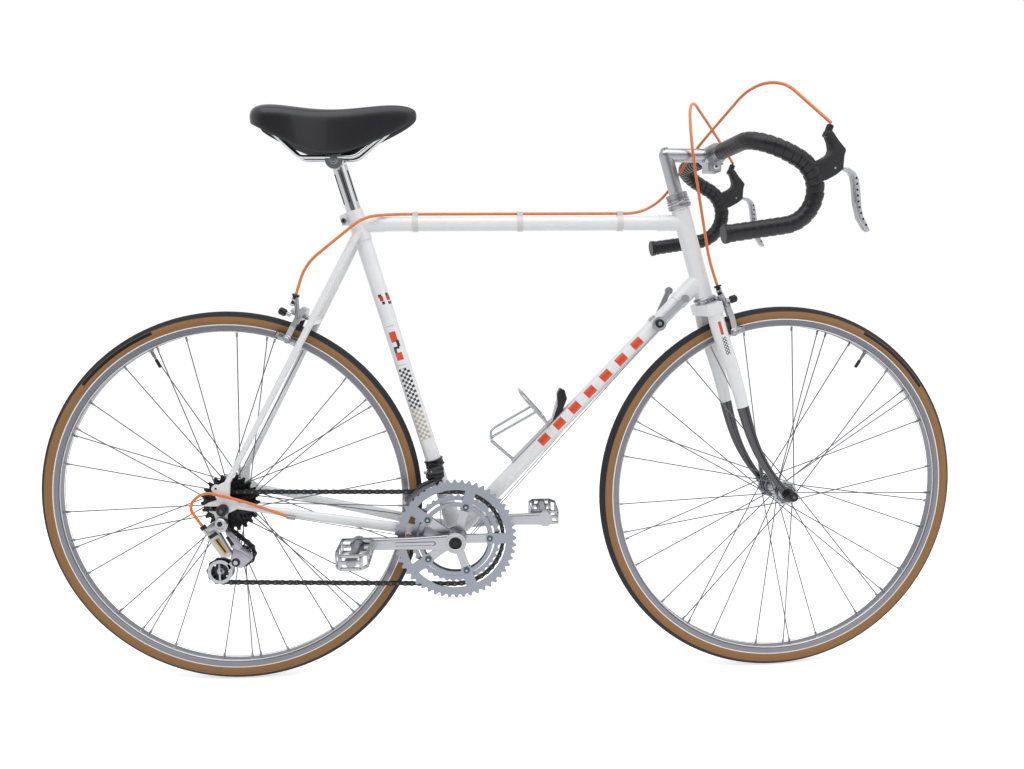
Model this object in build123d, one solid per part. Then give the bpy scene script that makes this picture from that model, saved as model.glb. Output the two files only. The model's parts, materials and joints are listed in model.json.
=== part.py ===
from build123d import *
import math
import os

os.makedirs("parts", exist_ok=True)

# ---- driving dimensions, mm: X forward, Y to the rider's left, Z up, from the rear axle ----
wheelbase = 1000.0
shell_clearance = 66.7        # from the rear tyre's tread to the bottom bracket's axis
bottom_bracket_drop = 68.0
seat_angle = 73.7
head_angle = 73.5
fork_rake = 40.0
top_tube_height = 489.0
crown_clearance = 22.5        # along the steering axis, from the tyre's radius up to the crown race
head_above_top_tube = 25.6     # along the steering axis, from the top tube's axis to the head tube's upper end
down_tube_offset = 33.0       # from the lower end of the head tube to the down tube's axis
steering_turn = 4.2           # the parked bicycle's bar is turned this far to the left

saddle_reference_x = 165.0    # the rider mount, from the rear axle
saddle_reference_z = 682.0

# tubes
head_tube_diameter = 32.0
top_tube_diameter = 25.4
down_tube_diameter = 28.6
seat_tube_diameter = 28.6
tube_wall = 1.6
lug_wall = 1.5
shell_diameter = 40.0
shell_width = 68.0
stay_top_diameter = 14.0
stay_end_diameter = 10.0
dropout_spacing_rear = 126.0
dropout_spacing_front = 100.0
dropout_thickness = 5.0

# wheels
tyre_width = 28.0
rim_outer_radius = 317.0
tyre_height = 22.0            # above the edge of the rim
bridge_drop = 19.0            # of the rear brake's bridge below the level of the tyre's top
rim_depth = 13.5
rim_width = 20.4
rim_wall = 1.8
rim_well_depth = 7.0
spoke_diameter = 2.0
spoke_count = 36
hub_flange_diameter = 44.0
hub_flange_thickness = 3.0
hub_body_diameter = 30.0
axle_diameter = 10.0
running_clearance = 0.05
front_flange_offset = 34.0
rear_flange_left = 34.0
rear_flange_right = 19.0

# drive
chain_pitch = 12.7
outer_ring_teeth = 52
inner_ring_teeth = 42
outer_ring_offset = 49.0      # from the centre plane to the ring's middle
inner_ring_offset = 43.0
ring_thickness = 2.2
chain_height = 8.4
chain_width = 6.2
tooth_height = 3.6
chain_clearance = 0.5
crank_length = 170.0
crank_angle = 0.0
spindle_diameter = 17.0
cog_teeth = (13, 15, 17, 19, 21, 24)
cog_pitch_width = 5.3
first_cog_offset = 51.0
cog_thickness = 2.0

# steering parts
steerer_diameter = 25.4
upper_stack = 28.0
lower_stack = 11.4
quill_diameter = 24.0
stem_rise = 117.5             # of the extension's axis above the top tube's axis
stem_reach = 85.0
extension_diameter = 24.0
bar_diameter = 23.8
bar_sleeve_diameter = 25.4
bar_width = 400.0
bar_corner_radius = 65.0
bar_ramp_angle = 28.0
bar_ramp_length = 9.0
bar_drop_radius = 55.0
bar_end_angle = 8.0
bar_end_length = 96.0
tape_thickness = 2.2
sleeve_length = 70.0

seat_post_diameter = 26.4
cable_diameter = 5.0

# ---- shared places ----
sin, cos, tan, radians = math.sin, math.cos, math.tan, math.radians
head_sin, head_cos = sin(radians(head_angle)), cos(radians(head_angle))
seat_sin, seat_cos = sin(radians(seat_angle)), cos(radians(seat_angle))
tyre_outer_radius = rim_outer_radius + tyre_height
chainstay_length = tyre_outer_radius + shell_clearance
crown_height = tyre_outer_radius + crown_clearance
stem_height = top_tube_height + stem_rise
shell_x = math.sqrt(chainstay_length**2 - bottom_bracket_drop**2)
shell_z = -bottom_bracket_drop
steering_x = wheelbase - fork_rake / head_sin


def head_point(distance, forward=0.0, y=0.0):
    """A point along the steering axis, and off it to the front."""
    return (
        steering_x - head_cos * distance + head_sin * forward,
        y,
        head_sin * distance + head_cos * forward,
    )


def seat_point(distance, forward=0.0, y=0.0):
    """A point up the seat tube's axis from the bottom bracket."""
    return (
        shell_x - seat_cos * distance + seat_sin * forward,
        y,
        shell_z + seat_sin * distance + seat_cos * forward,
    )


def frame_point(start, end, distance, y=0.0):
    """A point the given distance from start towards end, in the centre plane."""
    length = math.dist(start, end)
    share = distance / length
    return (
        start[0] + (end[0] - start[0]) * share,
        y,
        start[2] + (end[2] - start[2]) * share,
    )


head_bottom = crown_height + lower_stack
head_top = top_tube_height / head_sin + head_above_top_tube
seat_cluster = (top_tube_height - shell_z) / seat_sin
top_tube_rear = seat_point(seat_cluster)
top_tube_front = head_point(top_tube_height / head_sin)
down_tube_top = head_point(head_bottom + down_tube_offset)
shell_centre = (shell_x, 0.0, shell_z)


def mirror_y(shape):
    return mirror(shape, about=Plane.XZ)


def rod(start, end, radius, end_radius=None):
    """A round bar or cone between two points."""
    a, b = Vector(*start), Vector(*end)
    plane = Plane(origin=a, z_dir=(b - a).normalized())
    length = (b - a).length
    low = (Align.CENTER, Align.CENTER, Align.MIN)
    if end_radius is None or abs(end_radius - radius) < 1e-6:
        return plane * Cylinder(radius, length, align=low)
    return plane * Cone(radius, end_radius, length, align=low)


def pipe(start, end, radius, wall):
    """A hollow tube between two points."""
    return rod(start, end, radius) - rod(start, end, radius - wall)


def block(start, end, width, height, up=(0, 1, 0)):
    """A bar of rectangular section; width lies along `up`."""
    a, b = Vector(*start), Vector(*end)
    plane = Plane(origin=a, x_dir=Vector(*up), z_dir=(b - a).normalized())
    low = (Align.CENTER, Align.CENTER, Align.MIN)
    return plane * Box(width, height, (b - a).length, align=low)


def slab(points, y_low, y_high):
    """A plate in the side view between two Y planes, from its (x, z) outline."""
    outline = Polyline(*points, close=True)
    face = Plane.XZ.offset(-y_high) * make_face(outline)
    return extrude(face, y_high - y_low, dir=(0, -1, 0))


def disc(centre, radius, y_low, y_high, hole=0.0):
    """A washer about a lateral axis."""
    ring = rod((centre[0], y_low, centre[2]), (centre[0], y_high, centre[2]), radius)
    if hole > 0:
        ring -= rod((centre[0], y_low - 1, centre[2]), (centre[0], y_high + 1, centre[2]), hole)
    return ring


def turned(profile, centre):
    """A solid of revolution about a lateral axis, from (y, radius) pairs."""
    outline = Polyline(*[(y, r) for y, r in profile], close=True)
    face = make_face(outline)
    solid = revolve(face, Axis.X)
    return Location(centre) * (Rotation(0, 0, 90) * solid)


def group(*shapes):
    """Separate solids of one node."""
    solids = []
    for shape in shapes:
        solids.extend(shape.solids())
    return Compound(children=solids) if len(solids) > 1 else solids[0]


def tooth_disc(centre, teeth, tip, root, y_middle, thickness, share_top=0.3, share_root=0.3, phase=0.0):
    """A toothed disc about a lateral axis."""
    points = []
    step = 2 * math.pi / teeth
    for index in range(teeth):
        middle = index * step + phase
        half_top = step * share_top / 2
        half_root = step * (1 - share_root) / 2
        points.append((root, middle - half_root))
        points.append((tip, middle - half_top))
        points.append((tip, middle + half_top))
        points.append((root, middle + half_root))
    outline = Polyline(
        *[(centre[0] + r * cos(a), centre[2] + r * sin(a)) for r, a in points], close=True
    )
    face = Plane.XZ.offset(-(y_middle + thickness / 2)) * make_face(outline)
    return extrude(face, thickness, dir=(0, -1, 0))


def pitch_radius(teeth):
    return chain_pitch / (2 * sin(math.pi / teeth))


def cable(points, radius, name):
    """A housing of straight runs joined by the largest tangent arcs they allow."""
    runs = [math.dist(points[i], points[i + 1]) for i in range(len(points) - 1)]
    radii = []
    for i in range(1, len(points) - 1):
        before = Vector(*points[i]) - Vector(*points[i - 1])
        after = Vector(*points[i + 1]) - Vector(*points[i])
        turn = radians(before.get_angle(after))
        radii.append(0.45 * min(runs[i - 1], runs[i]) / tan(turn / 2))
    path = FilletPolyline(*points, radius=radii)
    start = Plane(origin=path @ 0, z_dir=path % 0)
    solid = sweep(start * Circle(radius), path=path)
    print(name, "length", round(path.length, 1), "volume ratio",
          round(solid.volume / (math.pi * radius**2 * path.length), 4),
          "radii", [round(r) for r in radii])
    return solid


# ---- steering frame: everything on the fork turns about this axis ----
steering_direction = Vector(-head_cos, 0, head_sin)
steering_line = Axis(head_point(0), steering_direction)
steering_forward = Vector(head_sin, 0, head_cos)


def steered(shape):
    """Turns a straight-ahead piece of the steering to where the bar stands."""
    return shape.rotate(steering_line, steering_turn)


def steered_point(point):
    """Where a straight-ahead point of the steering stands."""
    moved = Vertex(*point).rotate(steering_line, steering_turn)
    return (moved.X, moved.Y, moved.Z)


nodes = {}

# ---- main frame ----
head_radius = head_tube_diameter / 2
top_radius = top_tube_diameter / 2
down_radius = down_tube_diameter / 2
seat_radius = seat_tube_diameter / 2
shell_radius = shell_diameter / 2
lug_length = 30.0
seat_lug_top = seat_cluster + 24.0
seat_lug_bottom = seat_cluster - 30.0
half_shell = shell_width / 2

head_core = rod(head_point(head_bottom), head_point(head_top), head_radius)
head_hole = rod(head_point(head_bottom - 1), head_point(head_top + 1), head_radius - tube_wall)
seat_core = rod(shell_centre, seat_point(seat_lug_top), seat_radius)
shell_core = rod((shell_x, -half_shell, shell_z), (shell_x, half_shell, shell_z), shell_radius)
shell_hole = rod((shell_x, -half_shell - 1, shell_z), (shell_x, half_shell + 1, shell_z), shell_radius - 3.0)
top_core = rod(top_tube_rear, top_tube_front, top_radius)
down_core = rod(shell_centre, down_tube_top, down_radius)

top_lug_end = frame_point(top_tube_front, top_tube_rear, head_radius + lug_length)
down_lug_end = frame_point(down_tube_top, shell_centre, head_radius + lug_length + 10)
head_tube = head_core + rod(top_tube_front, top_lug_end, top_radius + lug_wall)
head_tube += rod(down_tube_top, down_lug_end, down_radius + lug_wall)
head_tube -= head_hole
head_tube -= rod(top_tube_front, top_tube_rear, top_radius) - head_core
head_tube -= rod(down_tube_top, shell_centre, down_radius) - head_core
nodes["head_tube"] = head_tube

top_tube = pipe(top_tube_rear, top_tube_front, top_radius, tube_wall)
nodes["top_tube"] = top_tube - head_core - seat_core
nodes["down_tube"] = pipe(shell_centre, down_tube_top, down_radius, tube_wall) - head_core - seat_core - shell_core
nodes["seat_tube"] = pipe(shell_centre, seat_point(seat_lug_top), seat_radius, tube_wall / 2 + 0.3) - shell_core

seat_lug_radius = seat_radius + lug_wall
top_lug_rear_end = frame_point(top_tube_rear, top_tube_front, seat_radius + lug_length)
ear_outline = [seat_point(seat_lug_top - 19, -seat_radius - 12), seat_point(seat_lug_top - 2, -seat_radius - 12),
               seat_point(seat_lug_top, -seat_radius), seat_point(seat_lug_top - 22, -seat_radius)]
seat_lug = rod(seat_point(seat_lug_bottom), seat_point(seat_lug_top), seat_lug_radius)
seat_lug += rod(top_tube_rear, top_lug_rear_end, top_radius + lug_wall)
seat_lug += slab([(x, z) for x, _, z in ear_outline], -7.0, 7.0)
seat_lug -= seat_core + top_core
nodes["seat_lug"] = seat_lug

socket_length = shell_radius + 22.0
shell = shell_core
shell += rod(shell_centre, seat_point(socket_length), seat_radius + lug_wall)
shell += rod(shell_centre, frame_point(shell_centre, down_tube_top, socket_length), down_radius + lug_wall)
shell -= (seat_core - shell_core) + (down_core - shell_core)
shell -= shell_hole

# chain stays: flat by the tyre, round at the dropouts
dropout_inner = dropout_spacing_rear / 2
dropout_outer = dropout_inner + dropout_thickness
dropout_middle = dropout_inner + dropout_thickness / 2
stay_front = (shell_x - 12.0, -23.0, shell_z + 1.0)
stay_rear = (24.0, -dropout_middle, 5.0)


def oval_bar(stations):
    """A solid through oval sections: (point, direction, half width, half height)."""
    sections = []
    for point, direction, half_width, half_height in stations:
        plane = Plane(origin=point, x_dir=Vector(0, 1, 0), z_dir=direction)
        sections.append(plane * Ellipse(half_width, half_height))
    return loft(sections)


stay_direction = Vector(*stay_rear) - Vector(*stay_front)
stay_middle = Vector(*stay_front) + stay_direction * 0.3
chain_stay = oval_bar([
    (Vector(*stay_front), stay_direction, 7.0, 10.0),
    (stay_middle, stay_direction, 6.6, 9.5),
    (Vector(*stay_rear), stay_direction, 5.5, 5.8),
])
chain_stays = group(chain_stay - shell_core, mirror_y(chain_stay) - shell_core)
stay_socket = oval_bar([
    (Vector(*stay_front) - stay_direction * 0.04, stay_direction, 8.5, 11.5),
    (Vector(*stay_front) + stay_direction * 0.07, stay_direction, 8.4, 11.3),
])
shell_sockets = (stay_socket + mirror_y(stay_socket)) - shell_core - chain_stay - mirror_y(chain_stay)
nodes["bottom_bracket_shell"] = shell + shell_sockets

# seat stays, with the brake bridge
seat_stay_low = (8.0, -dropout_middle, 46.0)
seat_stay_high = seat_point(seat_cluster - 12.0, 0.0, -(seat_lug_radius + 5.5))
stay_top_radius = stay_top_diameter / 2
stay_end_radius = stay_end_diameter / 2
seat_stay = rod(seat_stay_low, seat_stay_high, stay_end_radius, stay_top_radius)
bridge_height = tyre_outer_radius - bridge_drop
bridge_share = (bridge_height - seat_stay_low[2]) / (seat_stay_high[2] - seat_stay_low[2])
bridge_centre = (
    seat_stay_low[0] + (seat_stay_high[0] - seat_stay_low[0]) * bridge_share, 0.0, bridge_height)
bridge_reach = -(seat_stay_low[1] + (seat_stay_high[1] - seat_stay_low[1]) * bridge_share)
seat_lug_core = rod(seat_point(seat_lug_bottom), seat_point(seat_lug_top), seat_lug_radius)
seat_stay -= seat_lug_core + rod(seat_point(0), seat_point(seat_lug_bottom), seat_radius)
bridge = rod((bridge_centre[0], -bridge_reach, bridge_height), (bridge_centre[0], bridge_reach, bridge_height), 6.0)
nodes["rear_stays"] = group(chain_stays, seat_stay + mirror_y(seat_stay) + bridge)

# rear dropouts
dropout_outline = [(25.0, 12.0), (24.0, 0.0), (6.0, -8.0), (4.0, -20.0), (2.0, -30.0), (-9.0, -31.0), (-14.0, -20.0),
                   (-17.0, -8.0), (-31.0, -1.0), (-32.0, 8.0), (-24.0, 12.0), (-10.0, 16.0), (-15.0, 28.0),
                   (-9.0, 42.0), (2.0, 47.0), (13.0, 47.0), (11.0, 22.0)]
eyelet_centre = (-12.0, 0.0, 36.0)
eyelet_outer_radius = 7.0
dropout = slab(dropout_outline, -dropout_outer, -dropout_inner)
dropout += disc(eyelet_centre, eyelet_outer_radius, -dropout_outer, -dropout_inner)
dropout -= rod((0, -80, 0), (0, -50, 0), axle_diameter / 2)
dropout -= slab([(-40, -3), (-2, -5), (-2, 5), (-40, 6)], -80, -50) - disc((0, 0, 0), 5.0, -80, -50)
dropout -= rod((eyelet_centre[0], -80, eyelet_centre[2]), (eyelet_centre[0], -50, eyelet_centre[2]), 2.5)
dropout -= chain_stay + seat_stay
nodes["rear_dropouts"] = group(dropout, mirror_y(dropout))

# bottom bracket cups and axle
spindle_radius = spindle_diameter / 2
cup = disc(shell_centre, shell_radius - 3.0, -half_shell - 3, -half_shell + 12, spindle_radius + running_clearance)
cup += disc(shell_centre, shell_radius - 1.0, -half_shell - 4, -half_shell, spindle_radius + running_clearance)
nodes["bottom_bracket_cups"] = group(cup, mirror_y(cup))

# headset: cups on the frame, race and nuts on the fork
steerer_radius = steerer_diameter / 2
race_gap = 0.3


def head_ring(low, high, radius, hole, high_radius=None):
    """A ring about the steering axis between two distances along it."""
    ring = rod(head_point(low), head_point(high), radius, high_radius)
    return ring - rod(head_point(low - 1), head_point(high + 1), hole)


lower_cup = head_ring(crown_height + 5.5, head_bottom, head_radius + 3.5, steerer_radius + 1.5, head_radius + 1.0)
upper_cup = head_ring(head_top, head_top + 9.0, head_radius + 1.0, steerer_radius + 1.5, head_radius + 3.5)
nodes["headset_cups"] = group(lower_cup, upper_cup)
crown_race = head_ring(crown_height, crown_height + 5.5 - race_gap, head_radius + 1.5, steerer_radius)
upper_race = head_ring(head_top + 9.0 + race_gap, head_top + 16.0, head_radius + 2.5, steerer_radius)
lock_nut = head_ring(head_top + 16.0, head_top + upper_stack, head_radius + 0.5, steerer_radius, head_radius - 1.5)
nodes["headset_nuts"] = steered(group(crown_race, upper_race + lock_nut))

# ---- fork ----
crown_bottom = crown_height - 20.0
blade_spread = 34.0
blade_tip_y = dropout_spacing_front / 2 + dropout_thickness / 2
blade_tip = (wheelbase - 13.0, -blade_tip_y, 12.0)
blade_bend = (wheelbase - 58.5, -46.0, 63.4)
blade_top = head_point(crown_bottom + 14.0, 3.0, -blade_spread)
blade_sweep_radius = 300.0
blade_path = FilletPolyline(blade_top, blade_bend, blade_tip, radius=[blade_sweep_radius])
blade_sections = []
for share, half_width, half_length in ((0.0, 10.0, 14.0), (0.3, 9.5, 13.0), (0.55, 8.5, 10.8), (0.75, 7.4, 8.6),
                                       (0.9, 6.5, 6.9), (1.0, 6.0, 6.0)):
    blade_sections.append((blade_path @ share, blade_path % share, half_width, half_length))
blade = oval_bar(blade_sections)
chrome_line = head_point(168.0)
upper_side = Plane(origin=chrome_line, z_dir=steering_direction)
painted_blade = split(blade, bisect_by=upper_side, keep=Keep.TOP)
chrome_blade = split(blade, bisect_by=upper_side, keep=Keep.BOTTOM)
crown = block(head_point(crown_bottom), head_point(crown_height), 2 * blade_spread + 21.0, 29.0)
crown -= rod(head_point(crown_bottom - 30), head_point(crown_height + 30), steerer_radius)
crown -= blade + mirror_y(blade)
nodes["fork_crown"] = steered(crown + pipe(head_point(crown_bottom), head_point(head_top + upper_stack), steerer_radius, 1.8))
nodes["fork_blades"] = steered(group(painted_blade, mirror_y(painted_blade)))
front_inner = dropout_spacing_front / 2
front_outer = front_inner + dropout_thickness
tip_outline = [(wheelbase - 15, 17), (wheelbase - 6, 15), (wheelbase + 6, 9), (wheelbase + 12, 3), (wheelbase + 12, -6),
               (wheelbase + 6, -11), (wheelbase - 6, -11), (wheelbase - 12, -4), (wheelbase - 20, 8)]
tip = slab(tip_outline, -front_outer, -front_inner)
tip -= rod((wheelbase, -70, 0), (wheelbase, -40, 0), axle_diameter / 2)
tip -= slab([(wheelbase - 3.5, -20), (wheelbase + 3.5, -20), (wheelbase + 4, -3), (wheelbase - 4, -3)], -70, -40)
chrome_end = chrome_blade + tip
nodes["fork_ends"] = steered(group(chrome_end, mirror_y(chrome_end)))

# ---- stem and bar ----
stem_distance = stem_height / head_sin
stem_corner = head_point(stem_distance)
bar_centre = (stem_corner[0] + stem_reach, 0.0, stem_height)
bar_radius = bar_diameter / 2
sleeve_radius = bar_sleeve_diameter / 2
extension_radius = extension_diameter / 2
clamp_width = 40.0
stem = rod(head_point(head_top + upper_stack), stem_corner, quill_diameter / 2)
stem += rod(stem_corner, bar_centre, extension_radius)
stem += Location(stem_corner) * Sphere(extension_radius)
stem += disc(bar_centre, sleeve_radius + 6.0, -clamp_width / 2, clamp_width / 2)
clamp_low = (bar_centre[0] - 1.0, 0.0, bar_centre[2] - 17.0)
stem += block((clamp_low[0], 0, clamp_low[2] + 8), (clamp_low[0], 0, clamp_low[2] - 12), 24.0, clamp_width - 8.0,
              up=(1, 0, 0))
stem -= rod((bar_centre[0], -60, bar_centre[2]), (bar_centre[0], 60, bar_centre[2]), sleeve_radius)
nodes["stem"] = steered(stem)

half_bar = bar_width / 2
ramp = Vector(cos(radians(bar_ramp_angle)), 0, -sin(radians(bar_ramp_angle)))
drop_back = Vector(-cos(radians(bar_end_angle)), 0, -sin(radians(bar_end_angle)))
drop_turn = radians(180.0 - bar_ramp_angle - bar_end_angle)
drop_tangent = bar_drop_radius * tan(drop_turn / 2)
bar_corner = Vector(bar_centre[0], -half_bar, bar_centre[2])
bar_front = bar_corner + ramp * (bar_corner_radius + bar_ramp_length + drop_tangent)
bar_end = bar_front + drop_back * (drop_tangent + bar_end_length)


def bar_path(start_y):
    """Half of the bar's centre line, from the centre out to its end."""
    points = [Vector(bar_centre[0], start_y, bar_centre[2]), bar_corner, bar_front, bar_end]
    return FilletPolyline(*points, radius=[bar_corner_radius, bar_drop_radius])


def along(path, outer, inner=0.0):
    """A bar or tube of round section along a path."""
    start = Plane(origin=path @ 0, z_dir=path % 0)
    section = Circle(outer) if inner <= 0 else Circle(outer) - Circle(inner)
    return sweep(start * section, path=path)


tape_start = 46.0
tape_radius = bar_radius + tape_thickness
half_path = bar_path(0.0)
half_tube = along(half_path, bar_radius)
sleeve = rod((bar_centre[0], -sleeve_length / 2, bar_centre[2]), (bar_centre[0], sleeve_length / 2, bar_centre[2]),
             sleeve_radius)
handlebar = half_tube + mirror_y(half_tube) + sleeve
tape_path = bar_path(-tape_start)
tape = along(tape_path, tape_radius, bar_radius)
tape_core = along(tape_path, tape_radius)
plug = rod(bar_end, bar_end + drop_back * 4.0, tape_radius)
nodes["handlebar"] = steered(group(handlebar, plug, mirror_y(plug)))
nodes["bar_tape"] = steered(group(tape, mirror_y(tape)))

# hoods and lever blades, set out from the foremost part of the drop
drop_centre = bar_corner + ramp * (bar_corner_radius + bar_ramp_length) - Vector(
    sin(radians(bar_ramp_angle)), 0, cos(radians(bar_ramp_angle))) * bar_drop_radius


def lever_points(pairs):
    """Side-view points given from the centre of the drop's bend."""
    return [(drop_centre.X + x, drop_centre.Z + z) for x, z in pairs]


hood_outline = [(73.5, 98.0), (81.0, 99.0), (87.0, 90.0), (94.0, 75.0), (103.5, 59.5), (100.0, 48.5), (99.0, 31.0),
                (87.5, 23.5), (72.0, 16.0), (50.0, 22.0), (42.0, 42.0), (57.0, 42.5), (70.5, 50.5), (77.5, 58.5),
                (80.5, 67.5), (77.0, 79.0), (73.0, 88.0)]
hood_half_width = 13.0
hood = slab(lever_points(hood_outline), -half_bar - hood_half_width, -half_bar + hood_half_width) - tape_core
hood = max(hood.solids(), key=lambda solid: solid.volume)
blade_outline = [(97.0, 36.0), (97.0, 30.0), (108.0, 26.5), (112.5, 20.0), (116.0, 5.0), (119.0, -20.0), (125.5, -45.0),
                 (137.0, -63.0), (143.5, -66.0), (146.5, -62.5), (142.0, -53.0), (136.0, -42.5), (133.0, -27.5),
                 (131.0, -4.0), (127.0, 17.0), (120.0, 29.0), (110.0, 35.0)]
blade_holes = [(121.5, 20.0), (124.0, 10.0), (125.0, 0.0), (126.0, -10.0), (127.0, -20.0), (128.5, -30.0), (131.5, -40.0),
               (136.0, -49.0)]
blade_hole_radius = 2.0
lever_half_width = 8.0
lever_blade = slab(lever_points(blade_outline), -half_bar - lever_half_width, -half_bar + lever_half_width) - hood
for x, z in lever_points(blade_holes):
    lever_blade -= disc((x, 0.0, z), blade_hole_radius, -half_bar - lever_half_width, -half_bar + lever_half_width)
nodes["brake_hoods"] = steered(group(hood, mirror_y(hood)))
nodes["brake_levers"] = steered(group(lever_blade, mirror_y(lever_blade)))

# ---- brakes ----
braking_radius = rim_outer_radius - 6.0
pad_gap = 2.0


def reach_to(origin, direction, centre, radius):
    """How far along a direction a point comes to a given distance from a centre."""
    ox, oz = origin[0] - centre[0], origin[2] - centre[2]
    b = ox * direction.X + oz * direction.Z
    c = ox * ox + oz * oz - radius * radius
    return -b - math.sqrt(b * b - c)


def caliper(pivot, down, out, reach):
    """A side-pull caliper: arms, pads with holders, and the middle bolt."""
    plane = Plane(origin=pivot, x_dir=Vector(0, 1, 0), z_dir=out)
    sign = 1.0 if plane.y_dir.dot(down) < 0 else -1.0
    outline = [(-35, -reach - 4), (-38, -reach * 0.45), (-30, 2), (-12, 14), (12, 14), (30, 2), (38, -reach * 0.45),
               (35, -reach - 4), (25, -reach - 4), (27, -reach * 0.45), (20, -6), (8, -8), (-8, -8), (-20, -6),
               (-27, -reach * 0.45), (-25, -reach - 4)]
    face = make_face(Polyline(*[(u, sign * v) for u, v in outline], close=True))
    arms = plane * extrude(face, 5.0, both=True)
    pads = []
    for side in (-1, 1):
        inner = side * (rim_width / 2 + pad_gap)
        outer = side * 24.9
        middle = (inner + outer) / 2
        pad = plane * (Location((middle, -sign * reach, -2.0)) * Box(abs(outer - inner), 9.0, 48.0))
        pads.append(pad)
    bolt = rod(Vector(*pivot) - out * 5.0, Vector(*pivot) + out * 14.0, 6.0)
    return arms + bolt, pads


down_seat_stay = (Vector(*seat_stay_low) - Vector(*seat_stay_high))
down_seat_stay = Vector(down_seat_stay.X, 0, down_seat_stay.Z).normalized()
rear_out = Vector(down_seat_stay.Z, 0, -down_seat_stay.X)
rear_brake_offset = 24.0
rear_pivot = Vector(*bridge_centre) + rear_out * rear_brake_offset
rear_reach = reach_to((rear_pivot.X, 0, rear_pivot.Z), down_seat_stay, (0, 0, 0), braking_radius)
rear_arms, rear_pads = caliper(rear_pivot, down_seat_stay, rear_out, rear_reach)
rear_bolt = rod(Vector(*bridge_centre) + rear_out * 6.0, rear_pivot - rear_out * 5.0, 4.0)
rear_nut = rod(Vector(*bridge_centre) - rear_out * 14.0, Vector(*bridge_centre) - rear_out * 6.0, 5.0)
rear_barrel = rear_pivot - down_seat_stay * 26.0 + rear_out * 18.0 + Vector(0, -30.0, 0)
rear_arms += rod(rear_pivot - down_seat_stay * -4.0 + Vector(0, -31.0, 0), rear_barrel, 4.0)
nodes["rear_brake"] = group(rear_arms + rear_bolt, *rear_pads)

front_brake_offset = 27.0
front_pivot_distance = crown_bottom + 11.0
front_pivot = Vector(*head_point(front_pivot_distance, front_brake_offset))
front_down = -steering_direction
front_reach = reach_to((front_pivot.X, 0, front_pivot.Z), front_down, (wheelbase, 0, 0), braking_radius)
front_arms, front_pads = caliper(front_pivot, front_down, steering_forward, front_reach)
front_bolt = rod(head_point(front_pivot_distance, 14.5), front_pivot - steering_forward * 5.0, 4.0)
front_barrel = front_pivot - front_down * 29.0 - steering_forward * 8.0 + Vector(0, -30.0, 0)
front_arms += rod(front_pivot + front_down * 4.0 + Vector(0, -31.0, 0), front_barrel, 4.0)
nodes["front_brake"] = steered(group(front_arms + front_bolt, *front_pads))

# ---- wheels ----
front_axle = (wheelbase, 0.0, 0.0)
rear_axle = (0.0, 0.0, 0.0)
rim_inner_radius = rim_outer_radius - rim_depth
half_rim = rim_width / 2
half_tyre = tyre_width / 2
tyre_middle_radius = tyre_outer_radius - half_tyre
well_radius = rim_outer_radius - rim_well_depth


def tyre(centre):
    """A tyre seated in the rim's well."""
    bead = half_rim - rim_wall
    profile = [(-bead, well_radius), (-bead, rim_outer_radius), (-half_tyre, tyre_middle_radius),
               (-half_tyre * 0.45, tyre_outer_radius), (half_tyre * 0.45, tyre_outer_radius),
               (half_tyre, tyre_middle_radius), (bead, rim_outer_radius), (bead, well_radius)]
    return turned(profile, centre)


def rim(centre):
    """A box-section rim with an open well."""
    bead = half_rim - rim_wall
    profile = [(-half_rim, rim_outer_radius), (-half_rim, rim_inner_radius + 4.0), (-half_rim * 0.55, rim_inner_radius),
               (half_rim * 0.55, rim_inner_radius), (half_rim, rim_inner_radius + 4.0), (half_rim, rim_outer_radius),
               (bead, rim_outer_radius), (bead, well_radius), (-bead, well_radius), (-bead, rim_outer_radius)]
    return turned(profile, centre)


flange_radius = hub_flange_diameter / 2
hole_radius = flange_radius - 3.0
axle_radius = axle_diameter / 2
half_flange = hub_flange_thickness / 2


def hub(centre, left, right, width):
    """A hub shell with two spoke flanges, bored for its axle; left and right are the flanges' places."""
    body = hub_body_diameter / 2
    bore = axle_radius + running_clearance
    profile = [(-width, bore), (-width, 9.0), (-right - 6, 12.0), (-right - half_flange, body),
               (-right - half_flange, flange_radius), (-right + half_flange, flange_radius),
               (-right + half_flange, body), (-right + 9, body - 3.0), (left - 9, body - 3.0),
               (left - half_flange, body), (left - half_flange, flange_radius), (left + half_flange, flange_radius),
               (left + half_flange, body), (left + 6, 12.0), (width, 9.0), (width, bore)]
    return turned(profile, centre)


def spokes(centre, left, right):
    """Laced spokes, crossed three times, lying on both faces of each flange."""
    made = []
    per_side = spoke_count // 2
    radius = spoke_diameter / 2
    end_radius = rim_inner_radius + 1.0
    step = 360.0 / per_side
    for side, flange in ((1, left), (-1, right)):
        for index in range(per_side):
            outward = index % 2 == 0
            turn = 1 if outward else -1
            hub_angle = radians(index * step + (0 if side > 0 else step / 2))
            rim_angle = hub_angle + turn * radians(3 * 2 * step) * 0.97
            lie = half_flange + radius - 0.02
            y_hub = side * (flange + (lie if outward else -lie))
            start = (centre[0] + hole_radius * cos(hub_angle), y_hub, centre[2] + hole_radius * sin(hub_angle))
            finish = (centre[0] + end_radius * cos(rim_angle), side * 2.0, centre[2] + end_radius * sin(rim_angle))
            made.append(rod(start, finish, radius))
    return made


def valve(centre, angle):
    """A tyre valve standing in from the rim."""
    direction = Vector(cos(radians(angle)), 0, sin(radians(angle)))
    inner = Vector(*centre) + direction * (rim_inner_radius - 34.0)
    middle = Vector(*centre) + direction * (rim_inner_radius - 14.0)
    outer = Vector(*centre) + direction * (rim_inner_radius + 0.5)
    return rod(inner, middle, 2.2) + rod(middle, outer, 3.0)


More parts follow.
